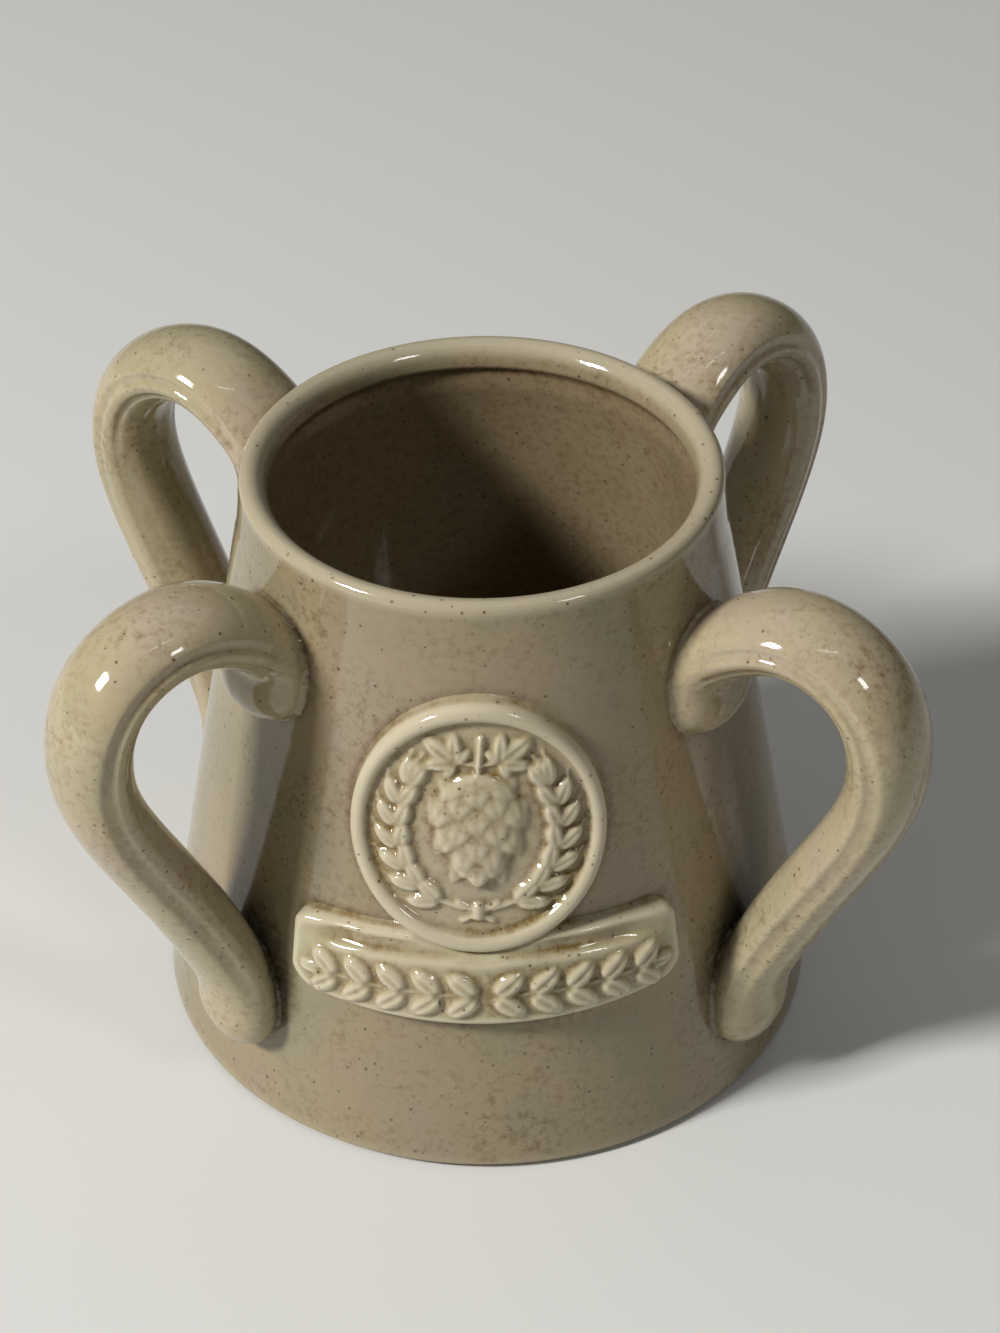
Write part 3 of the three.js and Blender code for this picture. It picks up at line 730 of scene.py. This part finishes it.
class HeightMap:
    """Heights in millimetres over a rectangle of the wall."""

    def __init__(self, half_width, half_height):
        self.x_axis = np.arange(-half_width, half_width, MAP_STEP)
        self.y_axis = np.arange(-half_height, half_height, MAP_STEP)
        self.x, self.y = np.meshgrid(self.x_axis, self.y_axis, indexing="ij")
        self.height = np.zeros_like(self.x)

    def turned(self, x, y, angle):
        """Distances along and across a direction, in degrees from upright, leaning right."""
        lean = math.radians(angle)
        dx, dy = self.x - x, self.y - y
        return dx * math.sin(lean) + dy * math.cos(lean), dx * math.cos(lean) - dy * math.sin(lean)

    def raise_by(self, base, rise):
        """Raises the map to the base plus a rise, where that is higher."""
        self.height = np.where(rise > 0, np.maximum(self.height, base + rise), self.height)

    def leaf(self, base, x, y, angle, length, width, height, crease=0.0, lift=0.0, belly=0.8):
        """A pointed dome that starts at (x, y), with a crease along it, its tip lifted, and its
        widest place nearer the start for a smaller belly."""
        along, across = self.turned(x, y, angle)
        share = np.clip(along / length, 0, 1)
        half = width / 2 * np.sin(math.pi * share ** belly) ** BLUNTNESS
        inside = np.clip(1 - (across / np.maximum(half, 1e-3)) ** 2, 0, 1)
        inside = np.where((along > 0) & (along < length), inside, 0)
        middle = crease * np.exp(-(across / (CREASE_WIDTH * width)) ** 2)
        tilt = 1 - lift * (1 - share)
        self.raise_by(base, height * tilt * np.sqrt(inside) * (1 - middle)
                      * np.minimum(half / width * TAPER, 1))

    def stalk(self, base, start, stop, width, height):
        """A round ridge from one point to another."""
        (x0, y0), (x1, y1) = start, stop
        length = math.hypot(x1 - x0, y1 - y0)
        along = ((self.x - x0) * (x1 - x0) + (self.y - y0) * (y1 - y0)) / length ** 2
        along = np.clip(along, 0, 1)
        off = np.hypot(self.x - x0 - along * (x1 - x0), self.y - y0 - along * (y1 - y0))
        self.raise_by(base, height * np.sqrt(np.clip(1 - (2 * off / width) ** 2, 0, 1)))

    def blurred(self, spread):
        """The map averaged with a bell curve of that spread in millimetres."""
        reach = math.ceil(3 * spread / MAP_STEP)
        bell = np.exp(-0.5 * (np.arange(-reach, reach + 1) * MAP_STEP / spread) ** 2)
        bell /= bell.sum()
        padded = np.pad(self.height, reach, mode="edge")
        rows = sum(k * padded[i:i + self.x.shape[0]] for i, k in enumerate(bell))
        return sum(k * rows[:, i:i + self.x.shape[1]] for i, k in enumerate(bell))

    def sample(self, values, x, y):
        """Values of a map at points, between its grid points."""
        u = np.clip((x - self.x_axis[0]) / MAP_STEP, 0, len(self.x_axis) - 1.001)
        v = np.clip((y - self.y_axis[0]) / MAP_STEP, 0, len(self.y_axis) - 1.001)
        i, j = u.astype(int), v.astype(int)
        p, q = u - i, v - j
        return ((1 - p) * ((1 - q) * values[i, j] + q * values[i, j + 1])
                + p * ((1 - q) * values[i + 1, j] + q * values[i + 1, j + 1]))

    def glazed(self, x, y):
        """Heights under the glaze at points, and how much glaze has pooled there or run off."""
        coat = self.blurred(GLAZE_SOFTNESS)
        gathered = self.sample((self.blurred(POOL_SPREAD) - coat) / POOL_DEPTH, x, y)
        print(f"relief up to {coat.max():.1f} mm high")
        return self.sample(coat, x, y), np.clip(gathered, 0, 1), np.clip(-gathered, 0, 1)


# %% From a map to a closed piece
INTO_WALL = -0.5
BACK_DEPTH = 0.3


def lofted(name, loops, pool, crest):
    """A closed body from a row of closed loops of points, with a face over each end."""
    rings, around = loops.shape[:2]
    index = np.arange(rings * around).reshape(rings, around)
    following = np.roll(index, -1, axis=1)
    sides = np.stack([index[:-1], following[:-1], following[1:], index[1:]], axis=-1)
    faces = sides.reshape(-1, 4).tolist() + [index[0, ::-1].tolist(), index[-1].tolist()]
    made = add_object(name, loops.reshape(-1, 3), faces)
    set_attribute(made, "pool", pool)
    set_attribute(made, "crest", crest)
    face_outwards(made)
    pressed_on.objects.link(made)
    return made


# %% [markdown]
# ## The plaque
# The plaque is an oval pad with a rounded ring around a sunken field. On the field a wreath of two
# ears of barley bends around a hop cone, with two hop leaves over it and a tied band below, which is
# a common pattern on beer mugs. Everything follows from its place in the wreath, so grains and
# bracts are laid in loops. Sculpting by hand would do as well, but couldn't be changed by a number.

# %% The pad
PLAQUE_WIDTH = 36.8
PLAQUE_HEIGHT = 41.2
PLAQUE_CENTRE = 60.2
PLAQUE_AZIMUTH = -4.0
RING_WIDTH = 2.7
RING_TOP = 2.7
FIELD_TOP = 1.2
PAD_FOOT = 0.9

plaque_map = HeightMap(PLAQUE_WIDTH / 2 + 2, PLAQUE_HEIGHT / 2 + 2)


def distance_inside(x, y):
    """How far a point lies inside the edge of the oval plaque."""
    stretch = PLAQUE_HEIGHT / PLAQUE_WIDTH
    return PLAQUE_WIDTH / 2 - np.hypot(x, y / stretch)


def carve_pad(carving):
    """The pad: a bead around a flat field, and a concave foot down to the wall."""
    inside = distance_inside(carving.x, carving.y)
    on_bead = np.clip(1 - ((inside - RING_WIDTH / 2) / (RING_WIDTH / 2)) ** 2, 0, 1)
    bead = FIELD_TOP + (RING_TOP - FIELD_TOP) * np.sqrt(on_bead)
    foot = FIELD_TOP * np.clip(1 + inside / PAD_FOOT, 0, 1) ** 2
    carving.height = np.where(inside > 0, bead, foot)
    carving.height[inside < -PAD_FOOT] = INTO_WALL


# %% Barley
WREATH_HALF_WIDTH = 11.4
WREATH_HALF_HEIGHT = 13.4
WREATH_START = -80.0
WREATH_STOP = 28.0
GRAIN_PAIRS = 8
GRAIN_LENGTH = 5.3
GRAIN_WIDTH = 2.9
GRAIN_SPLAY = 27.0
AWN_LENGTH = 1.9
AWN_START = 0.8
AWN_BEND = 14


def carve_barley(carving, side):
    """An ear of barley that bends around the field: paired grains with short awns, on a stalk. It
    is laid from its tip down, and three grains close it."""
    angles = np.radians(np.linspace(WREATH_START, WREATH_STOP, GRAIN_PAIRS))
    line = [(side * WREATH_HALF_WIDTH * math.cos(a), WREATH_HALF_HEIGHT * math.sin(a)) for a in angles]
    for pair in range(GRAIN_PAIRS - 1, 0, -1):
        (x0, y0), (x, y) = line[pair - 1:pair + 1]
        heading = math.degrees(math.atan2(x - x0, y - y0))
        carving.stalk(FIELD_TOP, (x0, y0), (x, y), width=1.0, height=0.5)
        for edge in (-1, 1) if pair < GRAIN_PAIRS - 1 else (-0.6, 0.6, 0):
            angle = heading + edge * GRAIN_SPLAY
            out = math.radians(angle)
            start = (x + GRAIN_LENGTH * AWN_START * math.sin(out),
                     y + GRAIN_LENGTH * AWN_START * math.cos(out))
            bend = math.radians(angle - AWN_BEND * side)
            stop = (start[0] + AWN_LENGTH * math.sin(bend), start[1] + AWN_LENGTH * math.cos(bend))
            carving.stalk(FIELD_TOP, start, stop, width=0.6, height=0.35)
            carving.leaf(FIELD_TOP, x, y, angle, GRAIN_LENGTH, GRAIN_WIDTH, height=1.3,
                         crease=0.25, lift=0.3)


# %% Hops
HOP_TOP = 9.4
HOP_LENGTH = 18.5
HOP_WIDTH = 12.4
HOP_SWELLING = 0.9
HOP_TIERS = 7
TIERS_SHARE = 0.86
BRACT_LENGTH = 5.6
BRACT_WIDTH = 5.2
BRACT_NARROWING = 0.25
BRACT_FAN = 24
LOBES = ((-100, 0.5), (100, 0.5), (-48, 0.8), (48, 0.8), (0, 1.0))


def carve_hop(carving, top):
    """A hop cone: an egg-shaped swelling under tiers of pointed bracts that overlap like scales."""
    along = np.clip((top - carving.y) / HOP_LENGTH, 0, 1)
    half = HOP_WIDTH / 2 * np.sin(math.pi * along ** 0.75) ** 0.6
    bulge = np.sqrt(np.clip(1 - (carving.x / np.maximum(half, 1e-3)) ** 2, 0, 1))
    bulge *= (along > 0) & (along < 1)
    carving.raise_by(FIELD_TOP, HOP_SWELLING * bulge)
    for tier in range(HOP_TIERS):
        share = (tier + 0.2) / HOP_TIERS
        row = (-1, 0, 1) if tier % 2 == 0 else (-0.5, 0.5)
        spread = HOP_WIDTH / 2 * math.sin(math.pi * (share * TIERS_SHARE + 0.1) ** 0.75) * 0.68
        for place in sorted(row, key=abs, reverse=True):
            carving.leaf(FIELD_TOP + HOP_SWELLING * bulge, place * spread,
                         top - share * HOP_LENGTH * TIERS_SHARE + 0.6 * abs(place),
                         180 - place * BRACT_FAN, BRACT_LENGTH, BRACT_WIDTH - BRACT_NARROWING * tier,
                         height=1.0, crease=0.22, lift=0.85, belly=0.5)


def carve_hop_leaf(carving, x, y, angle, size):
    """A hop leaf of pointed lobes around its stalk."""
    for turn, share in LOBES:
        carving.leaf(FIELD_TOP, x, y, angle + turn, size * share, size * share / 2, height=0.9,
                     crease=0.4)


# %% Carve the plaque
LEAF_X = 3.2
LEAF_Y = 11.0
LEAF_TURN = 52.0
LEAF_SIZE = 6.4
FORK = (0.2, HOP_TOP + 1.2)

carve_pad(plaque_map)
for side in (-1, 1):
    carve_barley(plaque_map, side)
for side in (-1, 1):
    carve_hop_leaf(plaque_map, side * LEAF_X, LEAF_Y, side * LEAF_TURN, LEAF_SIZE)
    plaque_map.stalk(FIELD_TOP, FORK, (side * LEAF_X, LEAF_Y), width=0.8, height=0.5)
plaque_map.stalk(FIELD_TOP, (0, HOP_TOP - 0.8), (0.5, HOP_TOP + 5.4), width=1.1, height=0.8)
carve_hop(plaque_map, HOP_TOP)
# The band that ties the two ears: its crossed ends, and its knot
for side in (-1, 1):
    plaque_map.stalk(FIELD_TOP, (side * 2.6, -12.2), (side * -2.0, -15.2), width=1.0, height=0.6)
plaque_map.stalk(FIELD_TOP, (0, -12.9), (0, -14.3), width=1.9, height=1.0)

# %% [markdown]
# ## From carving to clay
# The plaque's mesh is polar: rings of vertices from the middle out over the bead, down into the wall,
# and back under. An even grid would cut its round edge into steps.

# %% Press the plaque
PLAQUE_AROUND = 360
PLAQUE_RINGS = 108
BACK_RINGS = 8
MIDDLE = 0.05

angles = np.linspace(0, math.tau, PLAQUE_AROUND, endpoint=False)
reach = PLAQUE_WIDTH / 2 + PAD_FOOT + BACK_DEPTH
out = np.concatenate([[MIDDLE], np.linspace(0.3, reach, PLAQUE_RINGS)])
shares = np.concatenate([out, np.linspace(reach, MIDDLE, BACK_RINGS)])[:, None] / (PLAQUE_WIDTH / 2)
x = shares * PLAQUE_WIDTH / 2 * np.cos(angles)
y = shares * PLAQUE_HEIGHT / 2 * np.sin(angles)
rise, pool, crest = plaque_map.glazed(x, y)
rise[len(out):] = INTO_WALL - BACK_DEPTH
plaque = lofted("pressed_plaque", lay_on_wall(x, y, rise, PLAQUE_AZIMUTH, PLAQUE_CENTRE), pool, crest)

# %% [markdown]
# ## The ribbon
# The ribbon lies under the plaque, which laps over the middle of its top edge. That edge is a thin
# rim over a shallow channel, in which the glaze pooled. The lower edge is crisp and the ends are
# rounded. A garland of small leaves runs along the band. Like the plaque it is a height map laid on
# the wall, here as a row of loops, each of which goes up over the front and down behind it.

# %% The band and its edges
RIBBON_WIDTH = 58.9
RIBBON_HEIGHT = 15.4
RIBBON_END_HEIGHT = 12.6
RIBBON_TOP = 2.9
RIBBON_CENTRE = 35.3
RIBBON_AZIMUTH = -2.8
RIBBON_TILT = math.radians(0.8)
RIBBON_TOP_CORNER = 2.2
RIBBON_LOWER_CORNER = 4.6
RIBBON_SLOPE = 1.3
RIBBON_EDGE = 0.9
RIBBON_FOOT = 0.6
RIBBON_LEAST = 0.5
CHANNEL_DEPTH = 0.8


def ribbon_half_height(x, corner):
    """Half of the ribbon's height at a place along it, with that corner radius at its ends."""
    end = RIBBON_WIDTH / 2
    from_middle = np.abs(x)
    full = RIBBON_HEIGHT + (RIBBON_END_HEIGHT - RIBBON_HEIGHT) * np.minimum(from_middle / end, 1) ** 2
    into_corner = np.clip(from_middle - (end - corner), 0, corner)
    return full / 2 - corner + np.sqrt(corner ** 2 - into_corner ** 2)


def rounded(distance, width):
    """A quarter circle's rise, from 0 at the edge to 1 at a width inside it."""
    return np.sqrt(1 - (1 - np.clip(distance / width, 0, 1)) ** 2)


ribbon_map = HeightMap(RIBBON_WIDTH / 2 + 1.5, RIBBON_HEIGHT / 2 + 1.5)
from_top = ribbon_half_height(ribbon_map.x, RIBBON_TOP_CORNER) - ribbon_map.y
from_bottom = ribbon_half_height(ribbon_map.x, RIBBON_LOWER_CORNER) + ribbon_map.y
from_side = RIBBON_WIDTH / 2 - np.abs(ribbon_map.x)
inside = np.minimum.reduce([from_top, from_bottom, from_side])
band = np.minimum.reduce([rounded(from_top, RIBBON_SLOPE), rounded(from_bottom, RIBBON_EDGE),
                          rounded(from_side, RIBBON_EDGE)])
ribbon_map.height = RIBBON_LEAST + (RIBBON_TOP - RIBBON_LEAST) * band
# The channel fades towards the ends, and its depth wavers a little
above_band = (1 - smooth_step(from_top, 2.9, 4.6)) * smooth_step(from_side, 1.5, 9.0)
waver = 0.8 + 0.2 * np.sin(ribbon_map.x * 0.55 + 1.0) * np.sin(ribbon_map.x * 0.23)
ribbon_map.height -= above_band * (0.5 + CHANNEL_DEPTH * waver * smooth_step(from_top, 0.6, 1.9))
foot = RIBBON_LEAST * np.clip(1 + inside / RIBBON_FOOT, 0, 1) ** 2
ribbon_map.height = np.where(inside > 0, np.maximum(ribbon_map.height, RIBBON_LEAST), foot)
ribbon_map.height[inside < -RIBBON_FOOT] = INTO_WALL

# %% The garland
GARLAND_BASE = RIBBON_TOP - 0.25
GARLAND_LINE = -2.0
GARLAND_PITCH = 5.0
GARLAND_STEPS = 5
GARLAND_START = 1.2
GARLAND_END = 23.4
LEAF_LENGTH = 5.9
LEAF_WIDTH = 3.7
LEAF_SPREAD = 42

for side in (-1, 1):
    for step in range(GARLAND_STEPS):
        start = side * (GARLAND_START + step * GARLAND_PITCH)
        for up in (-1, 1):
            ribbon_map.leaf(GARLAND_BASE, start, GARLAND_LINE, side * (90 - up * LEAF_SPREAD),
                            LEAF_LENGTH, LEAF_WIDTH, height=1.4, crease=0.3)
        ribbon_map.stalk(GARLAND_BASE, (start, GARLAND_LINE),
                         (start + side * GARLAND_PITCH, GARLAND_LINE), width=0.8, height=0.6)
    ribbon_map.leaf(GARLAND_BASE, side * GARLAND_END, GARLAND_LINE, side * 90, length=4.6, width=2.8,
                    height=1.2, crease=0.3)

# %% Press the ribbon under the plaque
# Where the plaque laps over it, the ribbon is pressed down under the plaque's ring
PRESSED_TOP = 0.4
PRESSED_RISE = 2.2
PRESSED_FROM = -1.0
PRESSED_TO = 1.4
PRESSED_SLOPE = 3

plaque_y = (RIBBON_CENTRE - PLAQUE_CENTRE) / math.cos(WALL_LEAN) + ribbon_map.y
plaque_x = ribbon_map.x + math.radians(RIBBON_AZIMUTH - PLAQUE_AZIMUTH) * wall_radius(RIBBON_CENTRE)
outside_plaque = -distance_inside(plaque_x, plaque_y)
highest = (PRESSED_TOP + PRESSED_RISE * smooth_step(outside_plaque, PRESSED_FROM, PRESSED_TO)
           + np.maximum(outside_plaque - PRESSED_TO, 0) * PRESSED_SLOPE)
ribbon_map.height = np.where(ribbon_map.height > 0, np.minimum(ribbon_map.height, highest),
                             ribbon_map.height)

# %% Make the ribbon
RIBBON_LOOPS = 420
FRONT_POINTS = 96
BACK_POINTS = 5
RIBBON_MARGIN = RIBBON_FOOT + 0.2

columns = np.sin(np.linspace(-math.pi / 2, math.pi / 2, RIBBON_LOOPS))
x = columns * (RIBBON_WIDTH / 2 + RIBBON_MARGIN)
around = np.concatenate([np.linspace(-1, 1, FRONT_POINTS), np.linspace(1, -1, BACK_POINTS)])
upper = ribbon_half_height(x, RIBBON_TOP_CORNER) + RIBBON_MARGIN
lower = ribbon_half_height(x, RIBBON_LOWER_CORNER) + RIBBON_MARGIN
y = np.where(around > 0, upper[:, None], lower[:, None]) * around
x = np.broadcast_to(x[:, None], y.shape)
rise, pool, crest = ribbon_map.glazed(x, y)
rise[:, FRONT_POINTS:] = INTO_WALL - BACK_DEPTH
ribbon = lofted("pressed_ribbon", lay_on_wall(x, y, rise, RIBBON_AZIMUTH, RIBBON_CENTRE, RIBBON_TILT),
                pool, crest)

# %% [markdown]
# ## Stain where pieces meet
# Glaze gathers wherever something stands on the wall. On the cup that stain is worked out by
# *Geometry Proximity*: how near each vertex of the cup is to anything pressed on it. A second one
# looks at the handles alone and reaches further, for old dirt and painted shade in the wedges behind
# their tails, where no cloth gets and little light reaches. Painting both by hand is possible, but
# would go wrong with every new size.

# %% How near the cup is to its neighbours
STAIN_REACH = 1.0
DIRT_AND_SHADE_REACH = 6.0
DIRT_AND_SHADE_ON_CUP = 0.85
ABOVE_FOOT = (14.0, 26.0)
BELOW_LOBE = (42.0, 56.0)

stain_tree, add, given = new_tree("stain by neighbours", {
    "Neighbours": "Collection", "Rolls": "Collection", "Reach": "Float", "Dirt and shade reach": "Float",
    "Glaze": "Material"})
nearby = {}
for group, reach, strength in (("Neighbours", "Reach", 1.0), ("Rolls", "Dirt and shade reach", DIRT_AND_SHADE_ON_CUP)):
    instances = add("GeometryNodeCollectionInfo", [given[group]])
    as_mesh = add("GeometryNodeRealizeInstances", [instances])
    near = add("GeometryNodeProximity", [as_mesh], target_element="FACES")
    nearby[group] = add("ShaderNodeMapRange", [
        near.outputs["Distance"], 0.0, given[reach], strength, 0.0], **SOFTLY)

# %% The tree that stains the cup
within = add("GeometryNodeInputNamedAttribute", ["inside"])
outer = add("ShaderNodeMath", [1.0, within], operation="SUBTRACT")
around_pieces = add("ShaderNodeMath", [nearby["Neighbours"], outer], operation="MULTIPLY")
own = add("GeometryNodeInputNamedAttribute", ["pool"])
pool = add("ShaderNodeMath", [around_pieces, own], operation="MAXIMUM")
# Dirt and painted shade only lie around the tails, between the foot and the lobes
position = add("GeometryNodeInputPosition")
height = add("ShaderNodeSeparateXYZ", [position]).outputs["Z"]
above_foot = add("ShaderNodeMapRange", [
    height, ABOVE_FOOT[0] * MM, ABOVE_FOOT[1] * MM, 0.0, 1.0], **SOFTLY)
below_lobe = add("ShaderNodeMapRange", [
    height, BELOW_LOBE[0] * MM, BELOW_LOBE[1] * MM, 1.0, 0.0], **SOFTLY)
around_tail = add("ShaderNodeMath", [above_foot, below_lobe], operation="MULTIPLY")
outer_tail = add("ShaderNodeMath", [around_tail, outer], operation="MULTIPLY")
grime = add("ShaderNodeMath", [nearby["Rolls"], outer_tail], operation="MULTIPLY")
stained = given["Geometry"]
for name, value in (("pool", pool), ("grime", grime)):
    stained = add("GeometryNodeStoreNamedAttribute", {"Geometry": stained, "Name": name, "Value": value})
end_tree(stain_tree, stained, given["Glaze"])

# %% [markdown]
# ## The cup's own hollows and crests
# Three places on the cup need no neighbour. The inside is browner, because its coat is thin and worn.
# The line under the band of the mouth, where the undercut lies in shade, gets painted shade through
# the pool attribute. Glaze runs off the lip and the rolled edge of the foot, which show paler. Plain
# sums on the vertices' places are the shortest way to mark them.

# %% Mark the cup and stain it
INNER_DEPTH = (2.6, 3.4)
INNER_FLOOR = (3.0, 4.5)
UNDER_BAND = 90.4
INNER_TOP = 92.0
LIP = (92.6, 94.3)
FOOT_EDGE = 1.7

places = np.zeros(len(cup.data.vertices) * 3)
cup.data.vertices.foreach_get("co", places)
places = places.reshape(-1, 3) / MM
from_axis, heights = np.hypot(places[:, 0], places[:, 1]), places[:, 2]
depth_in_wall = wall_radius(heights) - from_axis
inside_mouth = (smooth_step(depth_in_wall, *INNER_DEPTH) * smooth_step(heights, *INNER_FLOOR)
                * smooth_step(-heights, -INNER_TOP, -UNDER_BAND))
# Painted shade in the line under the band, where the undercut lies in shade
shade_under_band = np.exp(-((heights - UNDER_BAND) / 0.6) ** 2) * inside_mouth
on_lip = smooth_step(heights, *LIP) * (1 - inside_mouth)
on_foot = np.exp(-((heights - FOOT_EDGE) / 0.45) ** 2) * smooth_step(-depth_in_wall, -1.0, -0.2)
set_attribute(cup, "inside", inside_mouth)
set_attribute(cup, "crest", np.maximum(on_lip, 0.7 * on_foot))
# The cup's pool attribute starts as the painted shade under the band
set_attribute(cup, "pool", 0.8 * shade_under_band)
run_tree(cup, stain_tree, {
    "Neighbours": pressed_on, "Rolls": rolls, "Reach": STAIN_REACH * MM,
    "Dirt and shade reach": DIRT_AND_SHADE_REACH * MM, "Glaze": glazes["cup"]})

# %% [markdown]
# ## An uneven hand
# Nothing that was joined by hand is quite true. One slow field of noise moves every vertex of every
# piece by a fraction of a millimetre. It depends only on where a vertex is, so pieces that touch move
# together and no joint opens. The foot stays flat on the table.

# %% The tree that makes things uneven
UNEVENNESS = 0.25
UNEVEN_SCALE = 34.0
UNEVEN_SEED = 3.0
FOOT_STAYS = (0.001, 0.006)

uneven_tree, add, given = new_tree("uneven by hand", {
    "Amount": "Float", "Size": "Float", "Seed": "Float", "Glaze": "Material"})
per_metre = add("ShaderNodeMath", [1.0, given["Size"]], operation="DIVIDE")
wave = add("ShaderNodeTexNoise", noise_dimensions="4D", inputs={
    "Scale": per_metre, "W": given["Seed"], "Detail": 1.0})
centred = add("ShaderNodeVectorMath", [wave.outputs["Color"], (0.5, 0.5, 0.5)], operation="SUBTRACT")
position = add("GeometryNodeInputPosition")
height = add("ShaderNodeSeparateXYZ", [position]).outputs["Z"]
amount = add("ShaderNodeMapRange", [height, *FOOT_STAYS, 0.0, given["Amount"]])
moved = add("ShaderNodeVectorMath", {"Vector": centred, "Scale": amount}, operation="SCALE")
shifted = add("GeometryNodeSetPosition", {"Geometry": given["Geometry"], "Offset": moved})
end_tree(uneven_tree, shifted, given["Glaze"])

# %% Finish every piece
FINISHED = [(cup, "mug_body", "body_glaze", "cup"), (plaque, "plaque", "relief_glaze", "reliefs"),
            (ribbon, "ribbon", "relief_glaze", "reliefs")]
FINISHED += [(handle, "handle_" + name, "handle_glaze", "handles") for name, handle in handles.items()]

for piece, node_name, slot, glaze in FINISHED:
    run_tree(piece, uneven_tree, {
        "Amount": UNEVENNESS * MM, "Size": UNEVEN_SCALE * MM, "Seed": UNEVEN_SEED,
        "Glaze": glazes[glaze]})
    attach(piece, "root")
    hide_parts(node_name)

# %% [markdown]
# ## Floor, camera and light
# The mug stands on a plain pale board. The camera looks down on it at about 38 degrees through a long
# lens, which keeps the handles in proportion. A small softbox high on the left draws the shadows and
# the bright spots on the glaze. A broad one overhead fills them, a weak one on the right gives the
# handles their second spot, and a narrow strip on the ceiling draws the thin line between the two.

# %% The floor
FLOOR_SIZE = 3000.0
board = bpy.data.materials.new("pale_matt_board")
board.use_nodes = True
board_surface = board.node_tree.nodes["Principled BSDF"]
board_surface.inputs["Base Color"].default_value = linear("#dcdbd6")
board_surface.inputs["Roughness"].default_value = 0.6
corners = [(-1, -1, 0), (1, -1, 0), (1, 1, 0), (-1, 1, 0)]
floor = add_object("floor", np.array(corners) * FLOOR_SIZE / 2, [(0, 1, 2, 3)])
floor.data.materials.append(board)
print(f"a board of {FLOOR_SIZE * MM:.0f} m")

# %% The camera
CAMERA_PLACE = (-15.52, -364.77, 342.47)
CAMERA_YAW = 2.818
CAMERA_PITCH = 38.05
CAMERA_ROLL = -0.437
FOCAL_PIXELS = 3000
PICTURE_HEIGHT = 1333
SENSOR = 36.0
camera_data = bpy.data.cameras.new("camera")
camera_data.sensor_fit = "VERTICAL"
camera_data.sensor_height = SENSOR
camera_data.lens = FOCAL_PIXELS / PICTURE_HEIGHT * SENSOR
camera = place_object("camera", camera_data)
camera.matrix_world = (
    Matrix.Translation(Vector(CAMERA_PLACE) * MM)
    @ Matrix.Rotation(-math.radians(CAMERA_YAW), 4, "Z")
    @ Matrix.Rotation(math.radians(90 - CAMERA_PITCH), 4, "X")
    @ Matrix.Rotation(math.radians(CAMERA_ROLL), 4, "Z"))
bpy.context.scene.camera = camera
print(f"a lens of {camera_data.lens:.0f} mm")

# %% The lamps
LAMP_DISTANCE = 1600.0
# Direction, length and width in millimetres, and power in watts
LAMPS = {"left_softbox": ((-0.713, -0.295, 0.635), 290, 290, 27.0),
         "overhead_softbox": ((0.0, 0.2, 1.0), 1900, 1900, 4.8),
         "right_softbox": ((0.47, -0.54, 0.70), 230, 230, 2.6),
         "ceiling_strip": ((0.10, -0.25, 0.96), 576, 13, 0.38)}
ROOM_LIGHT = 0.008

for name, (direction, length, width, power) in LAMPS.items():
    lamp_data = bpy.data.lights.new(name, "AREA")
    lamp_data.shape = "RECTANGLE"
    lamp_data.size = length * MM
    lamp_data.size_y = width * MM
    lamp_data.energy = power
    lamp = place_object(name, lamp_data)
    lamp.location = Vector(direction).normalized() * LAMP_DISTANCE * MM
    aim = Vector((0, 0, CUP_HEIGHT / 2 * MM)) - lamp.location
    lamp.rotation_euler = aim.to_track_quat("-Z", "Y").to_euler()

world = bpy.data.worlds.new("room")
world.use_nodes = True
room = world.node_tree.nodes["Background"]
room.inputs["Color"].default_value = linear("#dfe3e8")
room.inputs["Strength"].default_value = ROOM_LIGHT
bpy.context.scene.world = world
bpy.context.scene.view_settings.view_transform = "Standard"
print("lamps:", list(LAMPS))
